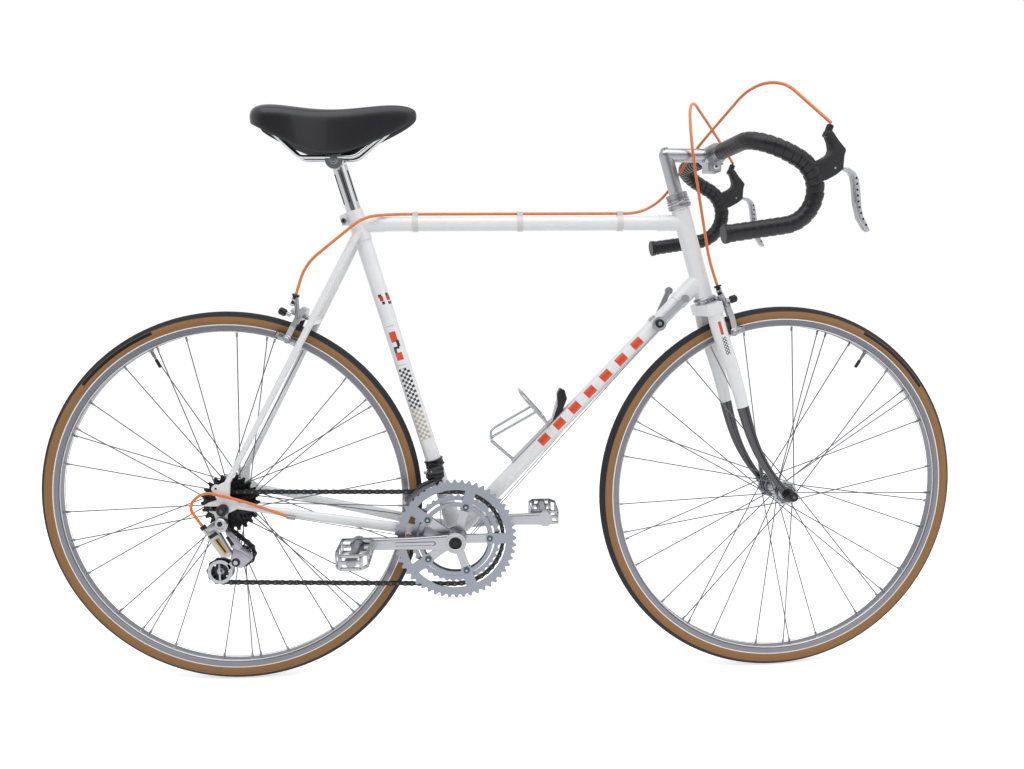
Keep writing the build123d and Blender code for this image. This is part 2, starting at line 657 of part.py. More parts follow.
def wheel_nodes(prefix, centre, left, right, width, valve_angle, place):
    """The nodes of one wheel."""
    nodes[prefix + "_tyre"] = place(tyre(centre))
    nodes[prefix + "_rim"] = place(rim(centre) + valve(centre, valve_angle))
    nodes[prefix + "_spokes"] = place(group(*spokes(centre, left, right)))
    nodes[prefix + "_hub"] = place(hub(centre, left, right, width))


def unmoved(shape):
    return shape


front_hub_half = front_inner - 3.0
rear_hub_half = dropout_inner - 3.0
wheel_nodes("front", front_axle, front_flange_offset, front_flange_offset, front_hub_half, 57.0, steered)
wheel_nodes("rear", rear_axle, rear_flange_left, rear_flange_right, rear_hub_half, 116.0, unmoved)


def skewer(centre, inner, outer, lever_direction):
    """A fixed axle with locknuts, a skewer nut on the drive side and a lever on the other."""
    shaft = rod((centre[0], -outer - 9, centre[2]), (centre[0], outer + 9, centre[2]), axle_radius - 0.5)
    shaft += rod((centre[0], -outer, centre[2]), (centre[0], outer, centre[2]), axle_radius)
    for side in (-1, 1):
        shaft += rod((centre[0], side * (inner - 2.7), centre[2]), (centre[0], side * inner, centre[2]), 8.5)
        shaft += rod((centre[0], side * outer, centre[2]), (centre[0], side * (outer + 10), centre[2]), 9.5)
    shaft += rod((centre[0], -outer - 10, centre[2]), (centre[0], -outer - 15, centre[2]), 6.0)
    shaft += rod((centre[0], outer + 10, centre[2]), (centre[0], outer + 16, centre[2]), 7.0)
    start = Vector(centre[0], outer + 12, centre[2])
    shaft += rod(start, start + lever_direction * 48.0, 4.5)
    return shaft


nodes["front_skewer"] = steered(skewer(front_axle, front_inner, front_outer, Vector(-0.1, 0.12, 1.0).normalized()))
nodes["rear_skewer"] = skewer(rear_axle, dropout_inner, dropout_outer, Vector(-0.9, 0.12, 0.5).normalized())

# ---- freewheel: turns with the rear wheel ----
half_cog = cog_thickness / 2
freewheel_radius = 17.5
chain_half_height = chain_height / 2
first_cog_pitch = pitch_radius(cog_teeth[0])
largest_cog_offset = first_cog_offset - cog_pitch_width * (len(cog_teeth) - 1)
freewheel = disc(rear_axle, freewheel_radius, -first_cog_offset - 2.0, -largest_cog_offset + half_cog)
for index, teeth in enumerate(cog_teeth):
    tip = pitch_radius(teeth) + tooth_height
    if index == 0:
        tip = first_cog_pitch - chain_half_height - chain_clearance   # the chain lies over this one
    root = max(freewheel_radius + 1.0, tip - 2.0 * tooth_height)
    offset = first_cog_offset - cog_pitch_width * index
    freewheel += tooth_disc(rear_axle, teeth, tip, root, -offset, cog_thickness)
freewheel += disc(rear_axle, 14.0, -first_cog_offset - 4.5, -first_cog_offset - 2.0)
rear_hub_solid = rod((0, -rear_hub_half - 5, 0), (0, rear_hub_half + 5, 0), 13.3)
nodes["freewheel"] = freewheel - rear_hub_solid

# ---- chain: one loop round the inner ring, the smallest cog and both pulleys ----
pulley_pitch = 20.5
guide_pulley = (24.4, 0.0, -85.0)
tension_pulley = (-15.2, 0.0, -116.7)
chain_turns = [(shell_centre, pitch_radius(inner_ring_teeth), 1), (rear_axle, first_cog_pitch, 1),
               (guide_pulley, pulley_pitch, -1), (tension_pulley, pulley_pitch, 1)]


def belt(turns):
    """Straight and curved pieces of a closed belt: (kind, start, angle, length, centre, signed radius)."""
    headings = []
    for index, (centre, radius, sense) in enumerate(turns):
        following, next_radius, next_sense = turns[(index + 1) % len(turns)]
        dx, dz = following[0] - centre[0], following[2] - centre[2]
        lean = math.asin((sense * radius - next_sense * next_radius) / math.hypot(dx, dz))
        headings.append(math.atan2(dz, dx) + lean)
    pieces = []
    for index, (centre, radius, sense) in enumerate(turns):
        heading_in = headings[index - 1]
        heading_out = headings[index]
        sweep_angle = (sense * (heading_out - heading_in)) % (2 * math.pi)
        pieces.append(("arc", heading_in, radius * sweep_angle, centre, sense * radius))
        following, next_radius, next_sense = turns[(index + 1) % len(turns)]
        start_x = centre[0] + sense * radius * sin(heading_out)
        start_z = centre[2] - sense * radius * cos(heading_out)
        end_x = following[0] + next_sense * next_radius * sin(heading_out)
        end_z = following[2] - next_sense * next_radius * cos(heading_out)
        length = math.hypot(end_x - start_x, end_z - start_z)
        pieces.append(("run", heading_out, length, (start_x, 0.0, start_z), 0.0))
    return pieces


def belt_point(pieces, distance, offset):
    """A point of the belt, moved sideways from its middle line."""
    for kind, heading, length, origin, radius in pieces:
        if distance <= length:
            if kind == "run":
                return (origin[0] + cos(heading) * distance - sin(heading) * offset,
                        origin[2] + sin(heading) * distance + cos(heading) * offset)
            angle = heading + distance / radius
            return (origin[0] + (radius - offset) * sin(angle), origin[2] - (radius - offset) * cos(angle))
        distance -= length
    return belt_point(pieces, 0.0, offset)


chain_pieces = belt(chain_turns)
chain_length = sum(piece[2] for piece in chain_pieces)
link_count = round(chain_length / chain_pitch)
link_length = chain_length / link_count
waist = chain_half_height * 0.68
chain_outer, chain_inner = [], []
for index in range(link_count):
    for share, half in ((0.0, chain_half_height), (0.42, chain_half_height), (0.71, waist)):
        chain_outer.append(belt_point(chain_pieces, (index + share) * link_length, -half))
        chain_inner.append(belt_point(chain_pieces, (index + share) * link_length, half))
chain = slab(chain_outer, -chain_width / 2, chain_width / 2) - slab(chain_inner, -chain_width, chain_width)
chain_tilt = math.degrees(math.atan2(first_cog_offset - inner_ring_offset, shell_x))
nodes["chain"] = Location((0, -first_cog_offset, 0)) * (Rotation(0, 0, chain_tilt) * chain)

# ---- crankset ----
half_ring = ring_thickness / 2
outer_ring_tip = pitch_radius(outer_ring_teeth) + tooth_height
outer_ring_root = outer_ring_tip - 5.6
inner_ring_tip = pitch_radius(inner_ring_teeth) - chain_half_height - chain_clearance
bolt_circle = 61.0
arm_angles = [crank_angle + 72.0 * index for index in range(5)]


def about_shell(shape, angle):
    """Turns a piece about the bottom bracket's axis; positive lifts its front."""
    return shape.rotate(Axis(shell_centre, (0, -1, 0)), angle)


def ring_place(radius, angle, y):
    return (shell_x + radius * cos(radians(angle)), y, shell_z + radius * sin(radians(angle)))


def tabs(inner, outer, width, y_low, y_high):
    """Five radial bars."""
    bar = Location((shell_x + (inner + outer) / 2, (y_low + y_high) / 2, shell_z)) * Box(
        outer - inner, y_high - y_low, width)
    return [about_shell(bar, angle) for angle in arm_angles]


def ring_with_tabs(teeth, tip, root, bore, tab_inner, tab_width, offset):
    ring = tooth_disc(shell_centre, teeth, tip, root, -offset, ring_thickness, 0.24, 0.26)
    ring -= disc(shell_centre, bore, -offset - 5, -offset + 5)
    for tab in tabs(tab_inner, bore + 2.0, tab_width, -offset - half_ring, -offset + half_ring):
        ring += tab
    return ring


spider_low = -outer_ring_offset + half_ring
spider_high = -inner_ring_offset - half_ring
outer_ring = ring_with_tabs(outer_ring_teeth, outer_ring_tip, outer_ring_root, 90.0, bolt_circle - 6.0, 19.0,
                            outer_ring_offset)
outer_ring += disc(shell_centre, bolt_circle + 6.0, -outer_ring_offset - half_ring, -outer_ring_offset + half_ring,
                   bolt_circle - 1.0)
inner_ring = ring_with_tabs(inner_ring_teeth, inner_ring_tip, inner_ring_tip - 3.0, 70.0, bolt_circle - 6.0, 16.0,
                            inner_ring_offset)
inner_ring += disc(shell_centre, bolt_circle + 5.0, -inner_ring_offset - half_ring, -inner_ring_offset + half_ring,
                   bolt_circle - 3.0)
boss_radius = 19.0
crank_inner = 58.0
crank_outer = 72.0
eye_radius = 14.0
pedal_offset = 120.0
pedal_width = 90.0
pedal_length = 56.0
pedal_height = 28.0
pedal_spindle_radius = 6.0
bolt_radius = 5.0
ring_bolts = []
for angle in arm_angles:
    ring_bolts.append(rod(ring_place(bolt_circle, angle, -outer_ring_offset - half_ring - 1.0),
                          ring_place(bolt_circle, angle, -inner_ring_offset + half_ring + 1.0), bolt_radius))
spider = disc(shell_centre, boss_radius, -crank_inner - 4.0, -inner_ring_offset + half_ring)
for arm in tabs(10.0, bolt_circle - 7.0, 15.0, -outer_ring_offset - half_ring - 0.5, spider_high + 1.0):
    spider += arm
for arm in tabs(bolt_circle - 9.0, bolt_circle + 7.0, 15.0, spider_low, spider_high):
    spider += arm


def crank_arm(sense):
    """An arm towards +X, its outer face away from the frame on the side of `sense`."""
    sections = []
    for share, height, low, high in ((0.0, 32.0, crank_inner, crank_outer + 1.0), (0.18, 27.0, crank_inner + 1.0, crank_outer),
                                     (0.5, 22.0, crank_inner + 2.0, crank_outer), (0.85, 22.0, crank_inner + 3.0, crank_outer + 1.0),
                                     (1.0, 24.0, crank_inner + 3.0, crank_outer + 1.0)):
        plane = Plane(origin=(shell_x + crank_length * share, sense * (low + high) / 2, shell_z),
                      x_dir=(0, 1, 0), z_dir=(1, 0, 0))
        sections.append(plane * RectangleRounded(high - low, height, 3.5))
    arm = loft(sections)
    eye = (shell_x + crank_length, 0.0, shell_z)
    low, high = sorted((sense * (crank_inner + 3.0), sense * (crank_outer + 1.0)))
    arm += disc(eye, eye_radius, low, high)
    low, high = sorted((sense * (crank_inner - 3.0), sense * (crank_outer + 2.0)))
    arm += disc(shell_centre, boss_radius, low, high)
    spindle_end = pedal_offset + pedal_width / 2 - 12.0
    arm += rod((eye[0], sense * crank_outer, eye[2]), (eye[0], sense * spindle_end, eye[2]), pedal_spindle_radius)
    return arm


right_arm = about_shell(crank_arm(-1), 180.0 + crank_angle)
left_arm = about_shell(crank_arm(1), crank_angle)
bolt_hole = disc(shell_centre, 11.0, -crank_outer - 3.0, -crank_outer + 3.0)
left_bolt_hole = disc(shell_centre, 11.0, crank_outer - 3.0, crank_outer + 3.0)
spindle_reach = 62.0
spindle = rod((shell_x, -spindle_reach, shell_z), (shell_x, spindle_reach, shell_z), spindle_radius)
spindle += rod((shell_x, -crank_outer + 3.0, shell_z), (shell_x, crank_outer - 3.0, shell_z), spindle_radius - 1.5)
spindle += disc(shell_centre, 10.5, -crank_outer + 1.5, -crank_outer + 3.0)
spindle += disc(shell_centre, 10.5, crank_outer - 3.0, crank_outer - 1.5)
right_crank = right_arm + spider
for bolt in ring_bolts:
    right_crank += bolt
right_crank -= bolt_hole + spindle
nodes["crank_axle"] = spindle
nodes["right_crank"] = right_crank
nodes["left_crank"] = left_arm - left_bolt_hole - spindle
nodes["chainrings"] = group(outer_ring - right_crank, inner_ring - right_crank)


def pedal(sense):
    """A platform pedal with a barrel and four openings, at the end of its crank."""
    eye = ring_place(crank_length, crank_angle + (0.0 if sense > 0 else 180.0), 0.0)
    inner = pedal_offset - pedal_width / 2
    outer = pedal_offset + pedal_width / 2
    half_length = pedal_length / 2
    plan = [(-half_length + 2.0, inner), (half_length - 2.0, inner), (half_length + 1.0, outer - 16.0),
            (half_length - 8.0, outer - 4.0), (0.0, outer), (-half_length + 8.0, outer - 4.0),
            (-half_length - 1.0, outer - 16.0)]
    plan_face = make_face(Polyline(*[(x, sense * y) for x, y in plan], close=True))
    body = Location((eye[0], 0.0, eye[2])) * extrude(plan_face, pedal_height / 2, both=True)
    opening_length = half_length - 16.0
    opening_width = pedal_width - 25.0
    opening_middle = pedal_offset - 7.0
    for side in (-1, 1):
        place = (eye[0] + side * (11.0 + opening_length / 2), sense * opening_middle, eye[2])
        body -= Location(place) * Box(opening_length, opening_width, pedal_height + 2)
    for lift in (-1, 1):
        place = (eye[0], sense * opening_middle, eye[2] + lift * (pedal_height / 2 - 2.0))
        body -= Location(place) * Box(pedal_length + 8.0, opening_width, 8.0)
        for side in (-1, 1):
            cage = (eye[0] + side * (half_length - 3.0), sense * opening_middle, eye[2] + lift * (pedal_height / 2 - 5.0))
            body += Location(cage) * Box(2.0, opening_width + 1.0, 8.0)
    low, high = sorted((sense * inner, sense * outer))
    body += disc(eye, 11.0, low, high)
    low, high = sorted((sense * (inner - 1.0), sense * (outer - 10.0)))
    return body - disc(eye, pedal_spindle_radius + running_clearance, low, high)


nodes["right_pedal"] = pedal(-1)
nodes["left_pedal"] = pedal(1)

# ---- seat post and saddle ----
post_radius = seat_post_diameter / 2
rail_height = saddle_reference_z - 81.0
rail_radius = 3.5
rail_spread = 20.0
saddle_nose_reach = 148.0
clamp_centre = (saddle_reference_x + 37.0, 0.0, rail_height - 5.0)
post_top = seat_point(seat_lug_top + 78.0)
seat_post = rod(seat_point(seat_lug_bottom), post_top, post_radius)
seat_post += rod(post_top, (clamp_centre[0], 0.0, clamp_centre[2]), post_radius, 11.0)
seat_post += disc(clamp_centre, 15.0, -rail_spread - 2.8, rail_spread + 2.8)
seat_post += disc(clamp_centre, 6.0, -rail_spread - 4.0, rail_spread + 4.0)


def rail(side):
    """One saddle rail, from the nose down past the clamp and up to the rear."""
    points = [(saddle_reference_x + saddle_nose_reach, side * 9.0, saddle_reference_z - 20.0),
              (saddle_reference_x + 72.0, side * rail_spread, rail_height),
              (saddle_reference_x - 22.0, side * rail_spread, rail_height),
              (saddle_reference_x - 82.0, side * 32.0, saddle_reference_z - 24.0)]
    return along(FilletPolyline(*points, radius=[30.0, 20.0]), rail_radius)


rails = [rail(-1), rail(1)]
seat_post -= rails[0] + rails[1]
nodes["seat_post"] = seat_post
nodes["saddle_rails"] = group(*rails)

saddle_stations = [(-99.0, 42.0, -8.0, -27.0), (-84.0, 62.0, 3.0, -38.0), (-64.0, 70.0, 5.6, -49.0),
                   (-30.0, 66.0, 2.2, -65.0), (0.0, 50.0, 0.0, -76.0), (36.0, 34.0, -0.8, -80.0),
                   (76.0, 25.0, 3.0, -71.0), (120.0, 21.0, 8.6, -50.0), (155.0, 18.0, 9.0, -34.0),
                   (172.0, 14.0, 4.0, -22.0), (178.5, 8.0, -2.0, -14.0)]


def saddle_section(along_x, half_width, top, low, inset):
    """The saddle's section across, with a domed top and upright skirts."""
    half = half_width - inset
    high = saddle_reference_z + top - inset * 1.4
    base = saddle_reference_z + low - (4.0 if inset > 0 else 0.0)
    skirt = min(20.0, (high - base) * 0.6)
    side = [(0.0, high), (half * 0.55, high - skirt * 0.08), (half * 0.84, high - skirt * 0.3),
            (half, high - skirt), (half - 1.5, base)]
    points = side + [(-y, z) for y, z in reversed(side[1:])]
    plane = Plane(origin=(saddle_reference_x + along_x, 0, 0), x_dir=(0, 1, 0), z_dir=(1, 0, 0))
    return plane * make_face(Polyline(*points, close=True))


saddle_outer = loft([saddle_section(*station, 0.0) for station in saddle_stations])
saddle_inner = loft([saddle_section(*station, 5.0) for station in saddle_stations[1:-2]])
saddle = saddle_outer - saddle_inner
saddle_cross = Location((saddle_reference_x - 82.0, 0, saddle_reference_z - 22.0)) * Box(9.0, 112.0, 12.0)
nose_cross = Location((saddle_reference_x + saddle_nose_reach, 0, saddle_reference_z - 18.0)) * Box(12.0, 36.0, 12.0)
saddle += (saddle_cross & saddle_outer) + (nose_cross & saddle_outer)
nodes["saddle"] = saddle - rails[0] - rails[1]

# ---- rear derailleur and its pulleys ----
hanger_bolt = (-3.0, 0.0, -22.0)
barrel_place = (-25.0, 0.0, -31.0)
lower_knuckle = (24.0, 0.0, -84.0)
pulley_offset = first_cog_offset - 0.4
cage_outer, cage_inner = pulley_offset + 8.0, pulley_offset - 7.6
derailleur = disc(hanger_bolt, 10.0, -86.0, -dropout_outer)
derailleur += slab([(-14, -13), (4, -12), (10, -22), (6, -36), (-8, -40), (-26, -40), (-33, -31), (-27, -22)], -84.0, -72.0)
derailleur += slab([(-24, -34), (-12, -26), (22, -76), (10, -84)], -84.0, -70.0)
derailleur += slab([(4, -34), (12, -38), (32, -66), (24, -72)], -80.0, -66.0)
derailleur += slab([(8, -76), (26, -68), (40, -76), (40, -88), (26, -99), (14, -92)], -80.0, -cage_outer)
derailleur += disc(lower_knuckle, 11.0, -82.0, -cage_outer)
cage_outline = [(12, -80), (30, -72), (38, -84), (30, -98), (6, -108), (4, -124), (-8, -136), (-24, -136), (-35, -124),
                (-35, -108), (-24, -97), (-8, -96)]
derailleur += slab(cage_outline, -cage_outer - 1.6, -cage_outer)
derailleur += slab(cage_outline, -cage_inner, -cage_inner + 1.6)
for pulley in (guide_pulley, tension_pulley):
    derailleur += disc(pulley, 3.0, -cage_outer - 2.5, -cage_inner + 2.5)
loop_end = Vector(barrel_place[0] - 8.0, -80.0, barrel_place[2] + 4.0)
loop_heading = Vector(24.0, 0.0, -37.0).normalized()
derailleur += rod(loop_end, loop_end + loop_heading * 14.0, 4.0)
pulley_tip = pulley_pitch - chain_half_height - chain_clearance
pulleys = []
for pulley in (guide_pulley, tension_pulley):
    wheel = tooth_disc(pulley, 10, pulley_tip, pulley_tip - 3.0, -pulley_offset, 4.0)
    pulleys.append(wheel - derailleur)
nodes["rear_derailleur"] = group(derailleur, *pulleys)

# ---- front derailleur ----
band_centre = 135.0
band_width = 14.0
front_mech = rod(seat_point(band_centre - band_width / 2), seat_point(band_centre + band_width / 2), seat_radius + 3.5)
front_mech -= rod(seat_point(band_centre - 20), seat_point(band_centre + 20), seat_radius)
cage_low, cage_high, cage_top = 97.0, 118.0, 113.5
cage_front, cage_rear = 95.0, 142.0
front_cage_outer, front_cage_inner = 54.5, 36.5


def arc_plate(inner, outer, start, end, y_low, y_high):
    """A plate along an arc about the bottom bracket."""
    steps = 10
    angles = [start + (end - start) * index / steps for index in range(steps + 1)]
    points = [(shell_x + outer * cos(radians(a)), shell_z + outer * sin(radians(a))) for a in angles]
    points += [(shell_x + inner * cos(radians(a)), shell_z + inner * sin(radians(a))) for a in reversed(angles)]
    return slab(points, y_low, y_high)


front_mech += arc_plate(cage_low, cage_high, cage_front, cage_rear, -front_cage_outer, -front_cage_outer + 1.4)
front_mech += arc_plate(cage_low, cage_high, cage_front, cage_rear, -front_cage_inner - 1.4, -front_cage_inner)
front_mech += arc_plate(cage_top, cage_high, cage_front, cage_front + 16.0, -front_cage_outer, -front_cage_inner)
tail = ring_place(cage_high - 2.5, cage_rear - 1.5, 0.0)
front_mech += rod((tail[0], -front_cage_outer, tail[2]), (tail[0], -front_cage_inner, tail[2]), 2.0)
band_point = seat_point(band_centre, 6.0)
mech_arm_end = ring_place(cage_high + 4.0, cage_front + 6.0, -front_cage_inner - 6.0)
front_mech += block((band_point[0], -seat_radius - 1.0, band_point[2]), mech_arm_end, 12.0, 14.0, up=(0, 0, 1))
front_mech += rod((band_point[0], -seat_radius - 14.0, band_point[2] + 2.0),
                  (mech_arm_end[0], mech_arm_end[1], mech_arm_end[2] + 1.0), 9.0)
front_mech -= seat_core
nodes["front_derailleur"] = front_mech

# ---- shift levers and wires ----
shift_clearance = 52.9          # from the lug's lower end to the levers' pivot
shift_distance = math.dist(down_tube_top, shell_centre) - head_radius - lug_length - 10.0 - shift_clearance


def tube_point(distance, above=0.0, y=0.0):
    """A point along the down tube from the bottom bracket, and off it upwards."""
    share_x = (down_tube_top[0] - shell_x) / math.dist(down_tube_top, shell_centre)
    share_z = (down_tube_top[2] - shell_z) / math.dist(down_tube_top, shell_centre)
    return (shell_x + share_x * distance - share_z * above, y, shell_z + share_z * distance + share_x * above)


boss = tube_point(shift_distance)
shift_band = rod(tube_point(shift_distance - 6.0), tube_point(shift_distance + 6.0), down_radius + 1.2)
shift_band += disc(boss, 9.0, -down_radius - 12.0, down_radius + 12.0)
shift_band -= down_core
shift_levers = shift_band
for side, tip_point in ((-1, tube_point(shift_distance + 63.0, -1.0)), (1, tube_point(shift_distance + 60.0, 21.0))):
    low, high = sorted((side * (down_radius + 4.0), side * (down_radius + 10.0)))
    shift_levers += disc(boss, 12.5, low, high)
    y = (low + high) / 2
    shift_levers += block((boss[0], y, boss[2]), (tip_point[0], y + side * 4.0, tip_point[2]), 5.0, 9.0)
    shift_levers += disc((tip_point[0], 0.0, tip_point[2]), 7.0, y + side * 4.0 - 3.0, y + side * 4.0 + 3.0)
nodes["shift_levers"] = shift_levers


wire_radius = 0.8
housing_radius = cable_diameter / 2
guide_z = shell_z - shell_radius - 5.5
guide_x = shell_x + 12.0
stop_place = Vector(*stay_front) + stay_direction * 0.76
stop_start = stop_place + Vector(0, -8.0, -6.0)
wires = []
for side in (-1, 1):
    wires.append(rod((boss[0], side * (down_radius + 2.0), boss[2] - 11.0), (guide_x, side * 8.0, guide_z), wire_radius))
wires.append(rod((guide_x, -8.0, guide_z), stop_start, wire_radius))
mech_wire = FilletPolyline((guide_x, 8.0, guide_z), (shell_x - 26.0, -9.0, guide_z),
                           (band_point[0] + 3.0, -seat_radius - 16.0, band_point[2] - 4.0), radius=[6.0])
wires.append(along(mech_wire, wire_radius))
loop_points = [stop_start, (40.0, -73.0, 14.0), (-30.0, -77.0, 34.0), (loop_end.X - 24.0, -80.0, loop_end.Z + 37.0), loop_end]
loop_points = [tuple(Vector(*point)) for point in loop_points]
derailleur_loop = cable(loop_points, housing_radius, "derailleur housing")
stop = rod(stop_start, stop_start - stay_direction.normalized() * 10.0, housing_radius + 1.2)
stop += rod(stop_start, stop_start + stay_direction.normalized() * 5.0, housing_radius + 1.2)
nodes["shift_wires"] = group(*[wire - front_mech - shift_levers - derailleur_loop for wire in wires])
nodes["cable_stop"] = stop - chain_stay - derailleur_loop - wires[2]
nodes["derailleur_housing"] = derailleur_loop - derailleur

# ---- brake housings ----
clip_places = (698.0 / 1000 * wheelbase, 521.0, 337.0)
housing_height = top_tube_height + top_radius + housing_radius + 1.8
right_hood_top = steered_point((drop_centre.X + 77.0, -half_bar - 1.0, drop_centre.Z + 102.0))
headset_top = head_point(head_top + upper_stack)
rear_route = [right_hood_top,
              (bar_centre[0] + 61.0, -89.0, bar_centre[2] + 130.0),
              (stem_corner[0] + 54.0, 27.0, stem_corner[2] + 7.0),
              (headset_top[0] - 17.0, 23.0, headset_top[2] - 7.0),
              (clip_places[0] + 36.0, 0.0, housing_height),
              (clip_places[2] - 40.0, 0.0, housing_height),
              (top_tube_rear[0] + 14.0, -seat_radius - 18.0, housing_height - 6.0),
              (rear_barrel.X + 21.0, -38.0, rear_barrel.Z + 57.0),
              tuple(rear_barrel)]
rear_housing = cable(rear_route, housing_radius, "rear brake housing")
front_route = [(drop_centre.X + 77.0, half_bar + 1.0, drop_centre.Z + 102.0),
               (bar_centre[0] + 45.0, 124.0, bar_centre[2] + 68.0),
               (bar_centre[0] - 42.0, 8.0, bar_centre[2] + 106.0),
               (bar_centre[0] - 46.0, -24.0, bar_centre[2] + 9.0),
               (front_barrel.X - 16.0, -24.0, front_barrel.Z + 52.0),
               tuple(front_barrel)]
front_housing = cable(front_route, housing_radius, "front brake housing")
nodes["rear_brake_housing"] = rear_housing - rear_arms
nodes["front_brake_housing"] = steered(front_housing - front_arms - hood - mirror_y(hood))
clips = []
for place in clip_places:
    low, high = place - 5.0, place + 5.0
    clip = rod((low, 0, top_tube_height), (high, 0, top_tube_height), top_radius + 1.2)
    top_of_clip = housing_height + housing_radius + 1.2 - top_tube_height
    clip += Location((place, 0, top_tube_height + top_of_clip / 2)) * Box(10.0, 9.0, top_of_clip)
    clip -= rod((low - 4.0, 0, top_tube_height), (high + 4.0, 0, top_tube_height), top_radius)
    clips.append(clip - rod((low - 4.0, 0, housing_height), (high + 4.0, 0, housing_height), housing_radius))
nodes["cable_clips"] = group(*clips)

# ---- bottle cage ----
bottle_radius = 36.5
cage_wire = 2.5
strip_low, strip_high = 165.0, 264.0
strip_top = down_radius + 3.5
bottle_axis = strip_top + cage_wire + bottle_radius


def cage_point(distance, above, y=0.0):
    return tube_point(distance, above, y)


strip = block(tube_point(strip_low, (down_radius + strip_top) / 2), tube_point(strip_high, (down_radius + strip_top) / 2),
              14.0, strip_top - down_radius)
strip -= down_core
cage = strip
reach = bottle_radius + cage_wire
for side in (-1, 1):
    loop = FilletPolyline(
        cage_point(strip_high - 4.0, strip_top, side * 3.0),
        cage_point(strip_high - 2.0, strip_top + 6.0, side * reach),
        cage_point(strip_high + 4.0, bottle_axis + reach, side * reach),
        cage_point(strip_high + 5.0, bottle_axis + reach, 0.0), radius=[14.0, 26.0])
    cage += along(loop, cage_wire)
    foot = FilletPolyline(
        cage_point(strip_high + 1.0, bottle_axis - 4.0, side * reach),
        cage_point(strip_low + 12.0, bottle_axis + 22.0, side * (reach - 2.0)),
        cage_point(strip_low + 2.0, bottle_axis + 14.0, side * 6.0),
        cage_point(strip_low + 4.0, strip_top - 1.0, side * 4.0), radius=[14.0, 5.0])
    cage += along(foot, cage_wire)
hook_profile = [tube_point(strip_high - 14.0, strip_top), tube_point(strip_high + 8.0, strip_top),
                tube_point(strip_high + 36.0, strip_top + 16.0), tube_point(strip_high + 60.0, strip_top + 25.0),
                tube_point(strip_high + 62.0, strip_top + 20.0), tube_point(strip_high + 30.0, strip_top - 1.0),
                tube_point(strip_high + 6.0, down_radius + 0.5), tube_point(strip_high, down_radius + 0.5),
                tube_point(strip_high, strip_top)]
hook = slab([(x, z) for x, _, z in hook_profile], -8.0, 8.0) - cage
nodes["bottle_cage"] = group(cage, max(hook.solids(), key=lambda solid: solid.volume))

# ---- export: the origin is the rider mount on the saddle ----
placement = Location((-saddle_reference_x, 0, -saddle_reference_z))
for name, shape in nodes.items():
    export_step(placement * shape, f"parts/{name}.step")
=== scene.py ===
import json
import math

import bmesh
import bpy
from mathutils import Euler, Matrix, Vector


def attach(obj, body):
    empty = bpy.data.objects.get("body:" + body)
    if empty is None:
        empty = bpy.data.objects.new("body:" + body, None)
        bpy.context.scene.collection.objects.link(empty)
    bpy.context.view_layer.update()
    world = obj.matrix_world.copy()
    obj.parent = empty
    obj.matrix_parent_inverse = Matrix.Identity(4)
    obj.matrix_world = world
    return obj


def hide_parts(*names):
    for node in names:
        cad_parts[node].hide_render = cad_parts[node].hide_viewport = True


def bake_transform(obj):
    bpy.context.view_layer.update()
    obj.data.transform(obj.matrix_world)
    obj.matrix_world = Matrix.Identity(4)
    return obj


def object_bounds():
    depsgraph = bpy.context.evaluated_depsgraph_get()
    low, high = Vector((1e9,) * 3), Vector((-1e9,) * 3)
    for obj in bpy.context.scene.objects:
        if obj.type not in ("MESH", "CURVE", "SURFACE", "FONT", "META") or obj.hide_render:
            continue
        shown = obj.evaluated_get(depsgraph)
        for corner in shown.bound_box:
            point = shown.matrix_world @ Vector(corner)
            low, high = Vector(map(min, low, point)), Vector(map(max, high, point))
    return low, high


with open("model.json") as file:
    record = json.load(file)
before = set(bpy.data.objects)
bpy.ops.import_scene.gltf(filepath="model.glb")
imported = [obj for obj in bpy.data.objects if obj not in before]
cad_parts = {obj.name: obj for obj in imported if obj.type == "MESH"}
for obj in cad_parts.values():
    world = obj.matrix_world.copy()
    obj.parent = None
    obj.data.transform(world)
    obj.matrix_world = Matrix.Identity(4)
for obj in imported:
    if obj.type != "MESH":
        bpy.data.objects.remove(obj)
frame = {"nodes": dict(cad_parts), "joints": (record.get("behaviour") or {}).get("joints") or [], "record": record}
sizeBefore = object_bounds()
nodes = frame["nodes"]
joints = {joint["name"]: joint for joint in frame["joints"]}

# Places in the bicycle are written in millimetres from the rear axle: x forward, y to the rider's left, z up.
rearAxle = Vector(joints["rear_wheel_spin"]["pos_m"])
wheelbase, forkRake, shellX, shellZ = 1000.0, 40, 399.96, -68.0
shell = (shellX, shellZ)
seatCos, seatSin = 0.28067, 0.95981
downCos, downSin = 0.6959, 0.7181
headCos, headSin = 0.284015, 0.95882


def place(x, y, z):
    return rearAxle + Vector((x, y, z)) / 1000


# Points along a tube, measured from the shell, and along the head axis
def onSeatTube(distance, forward=0.0):
    return (shellX - seatCos * distance + seatSin * forward, 0.0, shellZ + seatSin * distance + seatCos * forward)


def onDownTube(distance, above=0.0):
    return (shellX + downCos * distance - downSin * above, 0.0, shellZ + downSin * distance + downCos * above)


def onHead(distance):
    return (wheelbase - forkRake / headSin - headCos * distance, 0.0, headSin * distance)


steerPivot = Vector(joints["steering"]["pos_m"])
steerAxis = Vector(joints["steering"]["axis"])
steerTurn = math.radians(4.2)
steered = Matrix.Translation(steerPivot) @ Matrix.Rotation(steerTurn, 4, steerAxis) @ Matrix.Translation(-steerPivot)


# A node with its settings, and values for its inputs
def shaderNode(tree, kind, values={}, **settings):
    node = tree.nodes.new(kind)
    for key, value in settings.items():
        setattr(node, key, value)
    for key, value in values.items():
        node.inputs[key].default_value = value
    return node


# Links between nodes, each as (source, output, target, input)
def wire(tree, *links):
    for source, output, target, entry in links:
        tree.links.new(source.outputs[output], target.inputs[entry])


